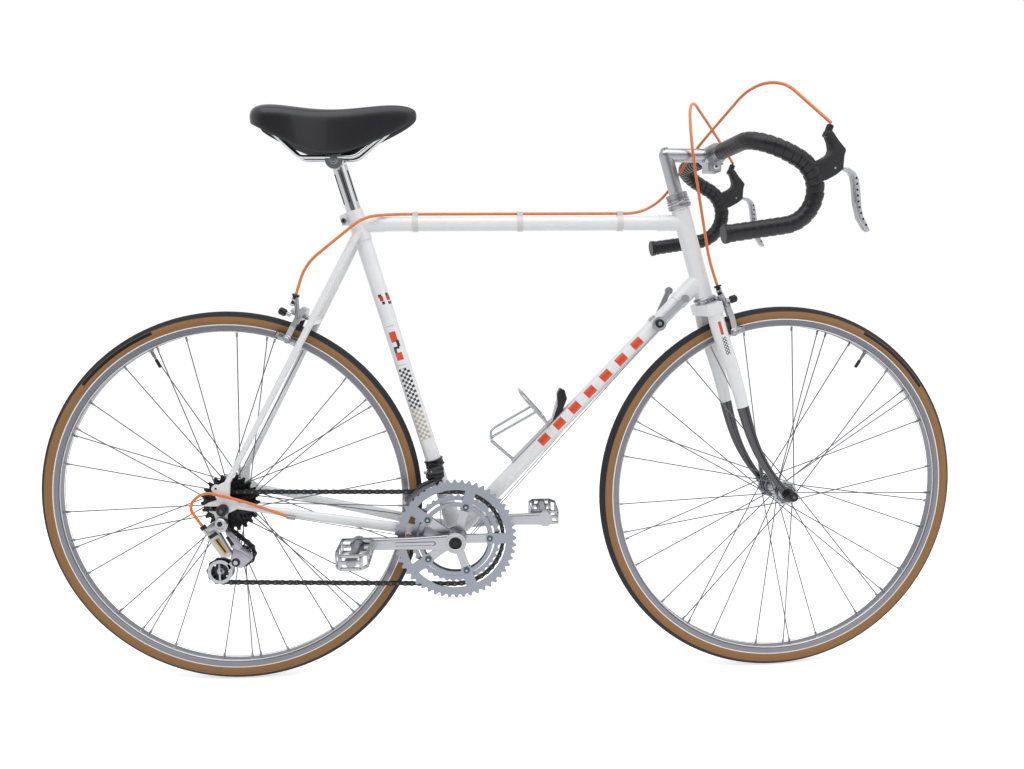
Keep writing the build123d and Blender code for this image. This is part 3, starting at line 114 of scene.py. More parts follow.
# Shared shader effects
def newGroup(name, inputs, outputs):
    group = bpy.data.node_groups.new(name, "ShaderNodeTree")
    for socketName, socketType, value in inputs:
        socket = group.interface.new_socket(socketName, in_out="INPUT", socket_type=socketType)
        if value is not None:
            socket.default_value = value
    for socketName, socketType in outputs:
        group.interface.new_socket(socketName, in_out="OUTPUT", socket_type=socketType)
    return group, group.nodes.new("NodeGroupInput"), group.nodes.new("NodeGroupOutput")


wear, wearIn, wearOut = newGroup("softWear", [
    ("Coordinates", "NodeSocketVector", None), ("Color", "NodeSocketColor", (0.8, 0.8, 0.8, 1)),
    ("Roughness", "NodeSocketFloat", 0.3), ("Mottle", "NodeSocketFloat", 0.06), ("Relief", "NodeSocketFloat", 0.02)],
    [("Color", "NodeSocketColor"), ("Roughness", "NodeSocketFloat"), ("Normal", "NodeSocketVector")])
cloud = shaderNode(wear, "ShaderNodeTexNoise", {"Detail": 5.0, "Scale": 60.0})
grit = shaderNode(wear, "ShaderNodeTexNoise", {"Scale": 900.0})
shade = shaderNode(wear, "ShaderNodeMapRange", {"To Min": 0.93, "To Max": 1.04})
tint = shaderNode(wear, "ShaderNodeVectorMath", operation="SCALE")
spread = shaderNode(wear, "ShaderNodeMath", operation="MULTIPLY_ADD")
relief = shaderNode(wear, "ShaderNodeBump", {"Distance": 0.0002})
wire(wear, (wearIn, "Coordinates", cloud, "Vector"), (wearIn, "Coordinates", grit, "Vector"),
     (cloud, "Fac", shade, "Value"), (wearIn, "Color", tint, 0), (shade, "Result", tint, "Scale"),
     (cloud, "Fac", spread, 0), (wearIn, "Mottle", spread, 1), (wearIn, "Roughness", spread, 2),
     (grit, "Fac", relief, "Height"), (wearIn, "Relief", relief, "Strength"), (tint, "Vector", wearOut, "Color"),
     (spread, "Value", wearOut, "Roughness"), (relief, "Normal", wearOut, "Normal"))

# A box about the origin of the coordinates, given by its half size: 1 inside
region, regionIn, regionOut = newGroup("boxRegion", [
    ("Coordinates", "NodeSocketVector", None), ("Half", "NodeSocketVector", (0.01, 0.01, 0.01))],
    [("Mask", "NodeSocketFloat")])
extent = shaderNode(region, "ShaderNodeVectorMath", operation="ABSOLUTE")
room = shaderNode(region, "ShaderNodeVectorMath", operation="SUBTRACT")
split = shaderNode(region, "ShaderNodeSeparateXYZ")
leastOne = shaderNode(region, "ShaderNodeMath", operation="MINIMUM")
least = shaderNode(region, "ShaderNodeMath", operation="MINIMUM")
inside = shaderNode(region, "ShaderNodeMath", {1: 0.0}, operation="GREATER_THAN")
wire(region, (regionIn, "Coordinates", extent, 0), (regionIn, "Half", room, 0), (extent, "Vector", room, 1),
     (room, "Vector", split, "Vector"), (split, "X", leastOne, 0), (split, "Y", leastOne, 1),
     (leastOne, "Value", least, 0), (split, "Z", least, 1), (least, "Value", inside, 0),
     (inside, "Value", regionOut, "Mask"))


# A material with soft wear on it
def newMaterial(name, color, metallic=0.0, roughness=0.4, coat=0.0, mottle=0.06, relief=0.0, specular=0.5):
    material = bpy.data.materials.new(name)
    material.use_nodes = True
    tree = material.node_tree
    shader = tree.nodes["Principled BSDF"]
    values = {"Color": (*color, 1), "Roughness": roughness, "Mottle": mottle, "Relief": relief}
    effect = shaderNode(tree, "ShaderNodeGroup", values, node_tree=wear, name="wear")
    coordinates = shaderNode(tree, "ShaderNodeTexCoord", name="coordinates")
    wire(tree, (coordinates, "Object", effect, "Coordinates"), (effect, "Color", shader, "Base Color"),
         (effect, "Roughness", shader, "Roughness"), (effect, "Normal", shader, "Normal"))
    inputs = {"Metallic": metallic, "Coat Weight": coat, "Coat Roughness": 0.08, "Specular IOR Level": specular}
    for key, value in inputs.items():
        shader.inputs[key].default_value = value
    return material


# Colours laid on a material in order, each a (node output, colour)
def paintOver(material, masks):
    tree = material.node_tree
    effect = tree.nodes["wear"]
    previous = None
    for mask, color in masks:
        mix = shaderNode(tree, "ShaderNodeMix", data_type="RGBA")
        tree.links.new(mask, mix.inputs["Factor"])
        if previous is None:
            mix.inputs["A"].default_value = effect.inputs["Color"].default_value
        else:
            tree.links.new(previous, mix.inputs["A"])
        mix.inputs["B"].default_value = (*color, 1)
        previous = mix.outputs["Result"]
    tree.links.new(previous, effect.inputs["Color"])


# Coordinates from a point of the bicycle, with z along a tube leaning back by that many degrees
def tubeCoordinates(material, origin, lean):
    tree = material.node_tree
    values = {"Location": origin, "Rotation": (0.0, math.radians(-lean), 0.0)}
    mapping = shaderNode(tree, "ShaderNodeMapping", values, vector_type="TEXTURE")
    tree.links.new(tree.nodes["coordinates"].outputs["Object"], mapping.inputs["Vector"])
    return mapping.outputs["Vector"]


# A box mask about a point of the bicycle, leaning with a tube; its half size in millimetres
def boxMask(material, origin, lean, half):
    values = {"Half": [length / 1000 for length in half]}
    box = shaderNode(material.node_tree, "ShaderNodeGroup", values, node_tree=region)
    material.node_tree.links.new(tubeCoordinates(material, origin, lean), box.inputs["Coordinates"])
    return box.outputs["Mask"]


# A band of checks along a tube inside a box
def checkerMask(material, origin, lean, half, square):
    tree = material.node_tree
    values = {1: (1000 / square, 0.0, 1000 / square), 2: (100.0, 0.5, 100.0)}
    cells = shaderNode(tree, "ShaderNodeVectorMath", values, operation="MULTIPLY_ADD")
    checks = shaderNode(tree, "ShaderNodeTexChecker", {"Scale": 1.0})
    both = shaderNode(tree, "ShaderNodeMath", operation="MULTIPLY")
    tree.links.new(tubeCoordinates(material, origin, lean), cells.inputs[0])
    wire(tree, (cells, "Vector", checks, "Vector"), (checks, "Fac", both, 0))
    tree.links.new(boxMask(material, origin, lean, half), both.inputs[1])
    return both.outputs["Value"]


paint = newMaterial("pearlPaint", (0.87, 0.88, 0.89), roughness=0.3, coat=0.3, mottle=0.02)
chrome = newMaterial("chrome", (0.52, 0.53, 0.55), metallic=1.0, roughness=0.08, mottle=0.05)
alloy = newMaterial("polishedAlloy", (0.40, 0.405, 0.43), metallic=1.0, roughness=0.24, mottle=0.1)
lavenderAlloy = newMaterial("castAlloy", (0.37, 0.36, 0.42), metallic=0.9, roughness=0.34, mottle=0.1)
ringAlloy = newMaterial("ringAlloy", (0.285, 0.30, 0.345), metallic=0.9, roughness=0.3, mottle=0.1)
rimAlloy = newMaterial("rimAlloy", (0.23, 0.23, 0.26), metallic=0.8, roughness=0.36)
# Pale colour painted on the rim lips as their highlight: painted highlight
rimEdgeHighlight = newMaterial("rimEdgeHighlight", (0.80, 0.80, 0.80), metallic=0.3, roughness=0.3)
steel = newMaterial("brightSteel", (0.30, 0.30, 0.32), metallic=1.0, roughness=0.26)
spokeSteel = newMaterial("spokeSteel", (0.16, 0.16, 0.175), metallic=0.7, roughness=0.35)
blackSteel = newMaterial("oiledSteel", (0.014, 0.014, 0.016), metallic=0.4, roughness=0.4, relief=0.01)
# The chrome of the fork ends gets a dark colour for the dark surroundings it reflects: painted reflection
bladeDarkReflectionChrome = newMaterial("bladeDarkReflectionChrome", (0.085, 0.085, 0.092), metallic=0.85, roughness=0.14)
pinSteel = newMaterial("pinSteel", (0.11, 0.11, 0.12), metallic=0.8, roughness=0.35)
gold = newMaterial("goldAnodised", (0.48, 0.33, 0.13), metallic=0.8, roughness=0.35)
tealSteel = newMaterial("tealSteel", (0.05, 0.09, 0.10), metallic=0.7, roughness=0.35)
tan = newMaterial("tanSidewall", (0.33, 0.175, 0.075), roughness=0.75, mottle=0.1, relief=0.02, specular=0.25)
tread = newMaterial("blackTread", (0.022, 0.024, 0.030), roughness=0.62, mottle=0.12, relief=0.02, specular=0.3)
blackPlastic = newMaterial("blackPlastic", (0.008, 0.008, 0.010), roughness=0.35, relief=0.02, specular=0.35)
tapeBlack = newMaterial("satinTape", (0.007, 0.007, 0.009), roughness=0.34, relief=0.02, specular=0.4)
hoodRubber = newMaterial("hoodRubber", (0.016, 0.016, 0.020), roughness=0.5, relief=0.02, specular=0.35)
saddleCover = newMaterial("saddleCover", (0.010, 0.010, 0.014), roughness=0.33, coat=0.15, relief=0.02, specular=0.4)
orange = newMaterial("orangeHousing", (0.80, 0.20, 0.035), roughness=0.3, coat=0.2)
white = newMaterial("whitePlastic", (0.72, 0.71, 0.68), roughness=0.35, relief=0.02)

# Decals: checks and plain coloured marks on the tubes
decalLook = {"orange": (0.74, 0.075, 0.02), "red": (0.7, 0.02, 0.03), "black": (0.02, 0.02, 0.02),
             "faded": (0.5, 0.42, 0.32), "blocks": 7, "blockStart": 236, "blockPitch": 40}
seatLean, headLean, downLean = 16.3, 16.5, -44.1
marks = []
for distance, forward, half, color in (
        (450, -1.0, (3.0, 30, 3.0), "black"), (445, 0.5, (3.2, 30, 4.5), "red"),
        (437, 2.0, (2.4, 30, 2.6), "black"), (450, 11.0, (2.0, 30, 3.0), "black"),
        (444, 11.5, (2.6, 30, 4.5), "red"), (435, 12.0, (2.4, 30, 2.6), "black"),
        (395, 0.0, (7.5, 30, 0.5), "faded"), (375, 0.0, (6.0, 30, 9.5), "orange"),
        (362, 4.5, (2.6, 30, 6.0), "black"), (355, -0.5, (5.0, 30, 2.2), "black"),
        (350, -3.5, (2.2, 30, 4.0), "black"), (339, 0.0, (6.0, 30, 7.0), "orange"),
        (323, 0.0, (8.0, 30, 0.5), "faded")):
    marks.append((boxMask(paint, place(*onSeatTube(distance, forward)), seatLean, half), decalLook[color]))
marks.append((checkerMask(paint, place(*onSeatTube(279)), seatLean, (9.4, 30, 38.0), 4.7), decalLook["black"]))
marks.append((checkerMask(paint, place(*onSeatTube(211.5)), seatLean, (9.4, 30, 29.2), 4.7), decalLook["faded"]))
for index in range(decalLook["blocks"]):
    middle = place(*onDownTube(decalLook["blockStart"] + decalLook["blockPitch"] * index, 3.0))
    marks.append((boxMask(paint, middle, downLean, (7.5, 30, 10.5)), decalLook["orange"]))
for side in (-1, 1):
    upper, lower = steered @ place(868, side * 50, 303), steered @ place(878, side * 50, 272)
    marks.append((boxMask(paint, upper, headLean, (2.6, 14, 12.0)), decalLook["orange"]))
    marks.append((checkerMask(paint, lower, headLean, (4.2, 14, 16.0), 2.8), decalLook["black"]))
paintOver(paint, marks)

slotMaterials = {
    "frame_paint": paint, "chrome": chrome, "alloy": alloy, "rim_alloy": rimAlloy, "steel": steel,
    "black_steel": blackSteel, "tyre": tan, "black_plastic": blackPlastic, "tape": tapeBlack,
    "hood_rubber": hoodRubber, "saddle_cover": saddleCover, "housing_orange": orange}
finishes = {part["node"]: slotMaterials[part["material_slot"]] for part in frame["record"]["subparts"]}
finishes.update({
    "rear_skewer": steel, "front_skewer": steel, "shift_levers": alloy, "fork_ends": bladeDarkReflectionChrome,
    "cable_clips": white, "chainrings": ringAlloy, "front_spokes": spokeSteel, "rear_spokes": spokeSteel})
for node, finish in finishes.items():
    nodes[node].data.materials.clear()
    nodes[node].data.materials.append(finish)
print("materials")


# A point on a circle in the side view, by degrees, and a run of such points
def onCircle(centre, radius, degrees):
    angle = math.radians(degrees)
    return (centre[0] + radius * math.cos(angle), centre[1] + radius * math.sin(angle))


def arc(centre, radius, start, end, count=7):
    return [onCircle(centre, radius, start + (end - start) * index / (count - 1)) for index in range(count)]


# Modelling helpers: meshes are drawn in millimetres and brought to their place by one of these
toPlace = Matrix.Translation(rearAxle) @ Matrix.Scale(0.001, 4)
onFork = steered @ toPlace


# From a wheel drawn about its own centre to its place
def wheelMatrix(prefix):
    if prefix == "front":
        return onFork @ Matrix.Translation((wheelbase, 0, 0))
    return toPlace


def newPiece(name, mesh, materials, smooth):
    for material in materials:
        mesh.materials.append(material)
    piece = bpy.data.objects.new(name, mesh)
    bpy.context.scene.collection.objects.link(piece)
    mesh.polygons.foreach_set("use_smooth", [True] * len(mesh.polygons))
    mesh.set_sharp_from_angle(angle=math.radians(smooth))
    return piece


# Turns a drawn mesh into a piece that rides on a body
def finishPiece(name, bm, body, materials, matrix=toPlace, smooth=40.0, replaced=()):
    bmesh.ops.remove_doubles(bm, verts=bm.verts, dist=0.002)
    bmesh.ops.recalc_face_normals(bm, faces=bm.faces)
    bm.transform(matrix)
    mesh = bpy.data.meshes.new(name)
    bm.to_mesh(mesh)
    bm.free()
    piece = newPiece(name, mesh, materials, smooth)
    if body:
        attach(piece, body)
    if replaced:
        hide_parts(*replaced)
    return piece


# Joins another drawn mesh into bm and frees it
def addMesh(bm, other, matrix=None, material=None):
    if matrix is not None:
        other.transform(matrix)
    if material is not None:
        for face in other.faces:
            face.material_index = material
    mesh = bpy.data.meshes.new("joined")
    other.to_mesh(mesh)
    other.free()
    bm.from_mesh(mesh)
    bpy.data.meshes.remove(mesh)


# A profile of (radius, y) spun about the y axis
def revolve(profile, steps=32, closed=True):
    bm = bmesh.new()
    verts = [bm.verts.new((radius, y, 0)) for radius, y in profile]
    ends = verts[1:] + verts[:1] if closed else verts[1:]
    edges = [bm.edges.new(pair) for pair in zip(verts, ends)]
    bmesh.ops.spin(bm, geom=verts + edges, cent=(0, 0, 0), axis=(0, 1, 0), dvec=(0, 0, 0),
                   angle=2 * math.pi, steps=steps, use_merge=True)
    return bm


# A matrix that puts the origin at start and the y axis along start to end
def towards(start, end):
    start, end = Vector(start), Vector(end)
    return Matrix.Translation(start) @ (end - start).to_track_quat("Y", "Z").to_matrix().to_4x4()


# A turned part that starts at one point and heads for another; the profile is (radius, distance along)
def addTurned(bm, start, end, profile, steps=24, material=0):
    addMesh(bm, revolve(profile, steps, closed=False), towards(start, end), material)


# A rod with closed, bevelled ends
def addRod(bm, start, end, radius, steps=20, material=0, bevel=0.0):
    length = (Vector(end) - Vector(start)).length
    bevel = min(bevel, length / 3, radius / 2)
    addTurned(bm, start, end, [(0, 0), (radius - bevel, 0), (radius, bevel), (radius, length - bevel),
                               (radius - bevel, length), (0, length)], steps, material)


# A rod straight across the bicycle at a place of the side view
def addPin(bm, centre, start, end, *shape):
    addRod(bm, (centre[0], start, centre[1]), (centre[0], end, centre[1]), *shape)


# A plate cut to an outline in the side view, from y low to y high
def addPlate(bm, outline, low, high, material=0, bevel=0.0, segments=2):
    plate = bmesh.new()
    face = plate.faces.new([plate.verts.new((x, low, z)) for x, z in outline])
    extruded = bmesh.ops.extrude_face_region(plate, geom=[face])
    moved = [item for item in extruded["geom"] if isinstance(item, bmesh.types.BMVert)]
    bmesh.ops.translate(plate, verts=moved, vec=(0, high - low, 0))
    if bevel:
        bmesh.ops.recalc_face_normals(plate, faces=plate.faces)
        bmesh.ops.bevel(plate, geom=plate.edges[:], offset=bevel, segments=segments, profile=0.5, affect="EDGES",
                        clamp_overlap=True, material=-1)
    addMesh(bm, plate, None, material)


def addBlock(bm, centre, size, material=0, bevel=0.0, matrix=Matrix()):
    block = bmesh.new()
    bmesh.ops.create_cube(block, size=1.0)
    bmesh.ops.scale(block, vec=size, verts=block.verts)
    if bevel:
        bmesh.ops.bevel(block, geom=block.edges[:], offset=bevel, segments=2, profile=0.5, affect="EDGES",
                        material=-1)
    addMesh(bm, block, matrix @ Matrix.Translation(centre), material)


# A curve of straight runs joined by tangent arcs
def roundedCurve(name, points, radii, matrix=toPlace, depth=0.0, resolution=10):
    points = [Vector(point) for point in points]
    knots = [(points[0], (points[1] - points[0]).normalized(), 0.0)]   # place, direction, handle towards the next
    for before, corner, after, radius in zip(points, points[1:], points[2:], radii):
        ahead, away = (corner - before).normalized(), (after - corner).normalized()
        turn = ahead.angle(away)
        halves = 2 if turn > 1.3 else 1
        if radius is None:   # as large as the runs allow
            radius = 0.45 * min((corner - before).length, (after - corner).length) / math.tan(turn / 2)
        reach = 4 / 3 * math.tan(turn / halves / 4) * radius
        knots.append((corner - ahead * radius * math.tan(turn / 2), ahead, reach))
        if halves == 2:
            inward = (away - ahead).normalized()
            knots.append((corner + inward * radius * (1 / math.cos(turn / 2) - 1), (ahead + away).normalized(),
                          reach))
        knots.append((corner + away * radius * math.tan(turn / 2), away, 0.0))
    knots.append((points[-1], (points[-1] - points[-2]).normalized(), 0.0))
    curve = bpy.data.curves.new(name, "CURVE")
    curve.dimensions = "3D"
    spline = curve.splines.new("BEZIER")
    spline.bezier_points.add(len(knots) - 1)
    reachBack = 0.0
    for index, (point, knot) in enumerate(zip(spline.bezier_points, knots)):
        ahead = knot[2] or ((knots[index + 1][0] - knot[0]).length / 3 if index + 1 < len(knots) else 1.0)
        point.handle_left_type = point.handle_right_type = "FREE"
        point.co = matrix @ knot[0]
        point.handle_left = matrix @ (knot[0] - knot[1] * (reachBack or 1.0))
        point.handle_right = matrix @ (knot[0] + knot[1] * ahead)
        reachBack = ahead
    spline.resolution_u = resolution
    curve.bevel_depth = depth / 1000
    curve.bevel_resolution = 3
    curve.use_fill_caps = True
    curve.use_path = True
    holder = bpy.data.objects.new(name, curve)
    bpy.context.scene.collection.objects.link(holder)
    return holder


# The mesh of a curve or of an object with modifiers, as a plain object
def asMesh(holder, name, materials, smooth=180):
    bpy.context.view_layer.update()
    mesh = bpy.data.meshes.new_from_object(holder.evaluated_get(bpy.context.evaluated_depsgraph_get()))
    bpy.data.objects.remove(holder)
    mesh.name = name
    mesh.materials.clear()
    return newPiece(name, mesh, materials, smooth)


# Tyres: a ribbed black tread on tan walls
tyreLook = {"outerRadius": 339.0, "width": 28.0, "rimRadius": 317.0, "bead": 129, "treadReach": 66,
            "grooveReach": 52, "grooveDepth": 0.45, "wallInset": 0.8, "footDepth": 1.5, "footHalf": 8.3}
tubeRadius = tyreLook["width"] / 2
tubeCentre = tyreLook["outerRadius"] - tubeRadius
wallRadius = tubeRadius - tyreLook["wallInset"]
tyreProfile = []
for degree in range(-tyreLook["bead"], tyreLook["bead"] + 1, 3):
    radius = tubeRadius if abs(degree) <= tyreLook["treadReach"] else wallRadius
    if abs(degree) < tyreLook["grooveReach"] and (degree // 3) % 4 == 0:
        radius -= tyreLook["grooveDepth"]
    tyreProfile.append(onCircle((tubeCentre, 0), radius, degree))
footRadius = tyreLook["rimRadius"] - tyreLook["footDepth"]
tyreProfile += [(footRadius, tyreLook["footHalf"]), (footRadius, -tyreLook["footHalf"])]
treadEdge = onCircle((tubeCentre, 0), tubeRadius, tyreLook["treadReach"])[0] - 0.2
for prefix in ("front", "rear"):
    bm = revolve(tyreProfile, steps=144)
    for face in bm.faces:
        centre = face.calc_center_median()
        face.material_index = int(math.hypot(centre.x, centre.z) > treadEdge)
    finishPiece(prefix + "TyreTread", bm, prefix + "_wheel", [tan, tread], wheelMatrix(prefix), 30,
                [prefix + "_tyre"])
print("tyres")

# Spoke nipples, rim eyelets and valve caps
nippleLook = {"count": 36, "crossed": 6, "spread": 0.97, "radius": 2.0, "length": 9.0, "rimInside": 303.5,
              "rimOffset": 2.0, "eyelet": 3.6}
spokeStep = 360 / (nippleLook["count"] // 2)
for prefix, valveAngle in (("front", 57.0), ("rear", 116.0)):
    bm = bmesh.new()
    for index in range(nippleLook["count"]):
        side = 1 if index % 2 == 0 else -1
        heading = 1 if (index // 2) % 2 == 0 else -1
        hubAngle = (index // 2) * spokeStep + (0 if side > 0 else spokeStep / 2)
        x, z = onCircle((0, 0), nippleLook["rimInside"],
                        hubAngle + heading * nippleLook["crossed"] * spokeStep * nippleLook["spread"])
        rimPoint = Vector((x, side * nippleLook["rimOffset"], z))
        tip = rimPoint * (1 - nippleLook["length"] / nippleLook["rimInside"])
        addRod(bm, rimPoint * 1.003, tip, nippleLook["radius"], 10, 0, 0.5)
        addRod(bm, rimPoint * 1.003, rimPoint * 0.997, nippleLook["eyelet"], 14, 1, 0.4)
    x, z = onCircle((0, 0), 1, valveAngle)
    direction = Vector((x, 0, z))
    addRod(bm, direction * 284, direction * 268, 3.0, 16, 2, 1.0)
    addRod(bm, direction * 303.8, direction * 299.5, 5.0, 12, 1, 0.6)
    finishPiece(prefix + "Nipples", bm, prefix + "_wheel", [steel, alloy, blackPlastic], wheelMatrix(prefix))
print("nipples")

# Chain: inner and outer links round the inner ring, the smallest cog and both pulleys
chainLook = {"pitch": 12.7, "ring": 42, "cog": 13, "pulley": 20.5, "ringOffset": 43.0, "cogOffset": 51.0,
             "plateHeight": 4.1, "waist": 3.0, "plateThickness": 1.0, "outerHalf": 3.1, "innerHalf": 2.0}


def pitchRadius(teeth):
    return chainLook["pitch"] / (2 * math.sin(math.pi / teeth))


mechPulleys = ((24.4, -85.0), (-15.2, -116.7))
chainTurns = [(shell, pitchRadius(chainLook["ring"]), 1), ((0.0, 0.0), pitchRadius(chainLook["cog"]), 1),
              (mechPulleys[0], chainLook["pulley"], -1), (mechPulleys[1], chainLook["pulley"], 1)]
headings = []
for index, (centre, radius, sense) in enumerate(chainTurns):
    following, nextRadius, nextSense = chainTurns[(index + 1) % 4]
    dx, dz = following[0] - centre[0], following[1] - centre[1]
    headings.append(math.atan2(dz, dx) + math.asin((sense * radius - nextSense * nextRadius) / math.hypot(dx, dz)))
chainRuns = []   # the length of each run, and a function from the distance along it to a point
for index, (centre, radius, sense) in enumerate(chainTurns):
    headingIn, headingOut = headings[index - 1], headings[index]
    signed = sense * radius
    wrapLength = (sense * (headingOut - headingIn)) % (2 * math.pi) * radius
    chainRuns.append((wrapLength, lambda s, c=centre, r=signed, h=headingIn: (
        c[0] + r * math.sin(h + s / r), c[1] - r * math.cos(h + s / r))))
    following, nextRadius, nextSense = chainTurns[(index + 1) % 4]
    start = (centre[0] + signed * math.sin(headingOut), centre[1] - signed * math.cos(headingOut))
    end = (following[0] + nextSense * nextRadius * math.sin(headingOut),
           following[1] - nextSense * nextRadius * math.cos(headingOut))
    chainRuns.append((math.dist(start, end), lambda s, p=start, h=headingOut: (
        p[0] + s * math.cos(h), p[1] + s * math.sin(h))))
chainLength = sum(run[0] for run in chainRuns)
linkCount = round(chainLength / chainLook["pitch"] / 2) * 2


def chainPoint(distance):
    distance %= chainLength
    for length, point in chainRuns:
        if distance <= length:
            return point(distance)
        distance -= length
    return chainRuns[0][1](0.0)


# One figure-eight side plate between two pins
def linkPlate(bm, low, high, length):
    height, waist = chainLook["plateHeight"], chainLook["waist"]
    addPlate(bm, arc((length / 2, 0), height, -120, 120) + [(0.0, waist)]
             + arc((-length / 2, 0), height, 60, 300) + [(0.0, -waist)], low, high)


linkLength = chainLength / linkCount
thickness = chainLook["plateThickness"]
bm = bmesh.new()
for index in range(linkCount):
    link = bmesh.new()
    x0, z0 = chainPoint(index * linkLength)
    x1, z1 = chainPoint((index + 1) * linkLength)
    if index % 2:   # a pin stands past the outer plates
        half, reach, radius, sides, finish = chainLook["outerHalf"], 3.5, 1.8, 10, 1
    else:   # a roller turns between the inner plates
        half, reach, radius, sides, finish = chainLook["innerHalf"], 1.0, 3.8, 12, 0
    linkPlate(link, -half, -half + thickness, linkLength)
    linkPlate(link, half - thickness, half, linkLength)
    for end in (-linkLength / 2, linkLength / 2):
        addRod(link, (end, -reach, 0), (end, reach, 0), radius, sides, finish)
    middle = Matrix.Translation(((x0 + x1) / 2, 0, (z0 + z1) / 2))
    addMesh(bm, link, middle @ Matrix.Rotation(-math.atan2(z1 - z0, x1 - x0), 4, "Y"))
chainSlant = math.atan2(chainLook["cogOffset"] - chainLook["ringOffset"], shellX)
onCogs = toPlace @ Matrix.Translation((0, -chainLook["cogOffset"], 0)) @ Matrix.Rotation(chainSlant, 4, "Z")
finishPiece("chainLinks", bm, "frame", [blackSteel, pinSteel], onCogs, 35, ["chain"])
print("chain")

# Saddle: a padded cover
saddleLook = {"x": 165.0, "z": 682.0, "levels": 2, "fill": 0.8}
saddleStations = [   # along, half width, top, lower edge
    (-98.5, 36.0, -9.0, -27.0), (-95.0, 50.0, -2.0, -32.0), (-84.0, 63.0, 3.5, -38.0), (-64.0, 70.0, 5.6, -49.0),
    (-30.0, 66.0, 2.6, -65.0), (0.0, 50.0, 0.0, -76.0), (36.0, 34.0, -0.6, -80.0), (76.0, 25.0, 3.0, -71.0),
    (120.0, 20.5, 8.4, -50.0), (152.0, 17.5, 8.8, -35.0), (171.0, 13.0, 4.0, -23.0), (178.0, 7.0, -2.5, -16.0)]
bm = bmesh.new()
saddleLoops = []
for along, halfWidth, top, low in saddleStations:
    skirt = min(22.0, (top - low) * 0.55)
    section = [
        (0.0, top), (halfWidth * 0.42, top - skirt * 0.04), (halfWidth * 0.78, top - skirt * 0.2),
        (halfWidth * 0.97, top - skirt * 0.7), (halfWidth, top - skirt * 1.2), (halfWidth - 1.0, low + 4.0),
        (halfWidth - 2.5, low), (halfWidth - 5.0, low + 3.0), (halfWidth * 0.86 - 5.0, top - skirt),
        (halfWidth * 0.4, top - skirt * 0.5), (0.0, top - skirt * 0.42)]
    ring = section + [(-y, z) for y, z in reversed(section[1:-1])]
    saddleLoops.append([bm.verts.new((saddleLook["x"] + along, y, saddleLook["z"] + z)) for y, z in ring])
for near, far in zip(saddleLoops, saddleLoops[1:]):
    for index in range(len(near)):
        following = (index + 1) % len(near)
        bm.faces.new((near[index], near[following], far[following], far[index]))
bm.faces.new(saddleLoops[0])
bm.faces.new(reversed(saddleLoops[-1]))
saddle = finishPiece("saddleCover", bm, "frame", [saddleCover], smooth=180, replaced=["saddle"])
softener = saddle.modifiers.new("soften", "SUBSURF")
softener.levels = softener.render_levels = saddleLook["levels"]
print("saddle")

# Bar tape: a band wound round each half of the bar, each wrap standing a little over the next
tapeLook = {"start": 46.0, "pitch": 13.0, "low": 12.7, "high": 14.1, "steps": 24, "plug": 5.0}
barLook = {"x": 863.6, "z": 606.5, "half": 200.0, "corner": 65.0, "ramp": 28, "straight": 9.0, "drop": 55.0,
           "slope": 8, "end": 96.0}
barX, barZ, barHalf = barLook["x"], barLook["z"], barLook["half"]
rampAngle, slope = math.radians(barLook["ramp"]), math.radians(barLook["slope"])
dropTurn = math.pi - rampAngle - slope
ramp = Vector((math.cos(rampAngle), 0, -math.sin(rampAngle)))
back = Vector((-math.cos(slope), 0, -math.sin(slope)))
dropTangent = barLook["drop"] * math.tan(dropTurn / 2)
barLength = (barHalf - barLook["corner"] - tapeLook["start"] + barLook["corner"] * math.pi / 2 + barLook["straight"]
             + barLook["drop"] * dropTurn + barLook["end"])
plugs = bmesh.new()
for sideName, side in (("right", -1), ("left", 1)):
    corner = Vector((barX, side * barHalf, barZ))
    dropFront = corner + ramp * (barLook["corner"] + barLook["straight"] + dropTangent)
    barEnd = dropFront + back * (dropTangent + barLook["end"])
    route = [(barX, side * tapeLook["start"], barZ), corner, dropFront, barEnd]
    guide = roundedCurve(sideName + "Guide", route, [barLook["corner"], barLook["drop"]], onFork, resolution=24)
    turns = round(barLength / tapeLook["pitch"])
    pitch = barLength / turns
    low, high, steps = tapeLook["low"], tapeLook["high"], tapeLook["steps"]
    bm = bmesh.new()
    wrap = [(-pitch, low), (-pitch * 0.93, high), (-pitch * 0.55, high - 0.2), (-pitch * 0.2, high - 0.75),
            (0.0, low)]
    verts = [bm.verts.new((x, 0, radius)) for x, radius in wrap]
    edges = [bm.edges.new(pair) for pair in zip(verts, verts[1:])]
    bmesh.ops.spin(bm, geom=verts + edges, cent=(0, 0, 0), axis=(1, 0, 0), dvec=(pitch / steps, 0, 0),
                   angle=2 * math.pi * (turns + 2), steps=steps * (turns + 2), use_merge=False)
    bmesh.ops.remove_doubles(bm, verts=bm.verts, dist=0.05)
    for end, keep in ((0.2, -1), (barLength - 0.2, 1)):   # cut square at both ends and closed
        bmesh.ops.bisect_plane(bm, geom=bm.verts[:] + bm.edges[:] + bm.faces[:], plane_co=(end, 0, 0),
                               plane_no=(keep, 0, 0), clear_outer=True)
    bmesh.ops.holes_fill(bm, edges=[edge for edge in bm.edges if edge.is_boundary], sides=0)
    wound = finishPiece(sideName + "Band", bm, None, [tapeBlack], Matrix.Scale(0.001, 4), 30)
    bend = wound.modifiers.new("bend", "CURVE")
    bend.object = guide
    bend.deform_axis = "POS_X"
    tape = asMesh(wound, sideName + "Tape", [tapeBlack], 30)
    bpy.data.objects.remove(guide)
    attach(tape, "steering")
    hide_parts("bar_tape")
    addRod(plugs, barEnd - back * 3.0, barEnd + back * tapeLook["plug"], high + 0.9, 28, 0, 0.8)
finishPiece("barPlugs", plugs, "steering", [blackPlastic], onFork)
print("bar tape")

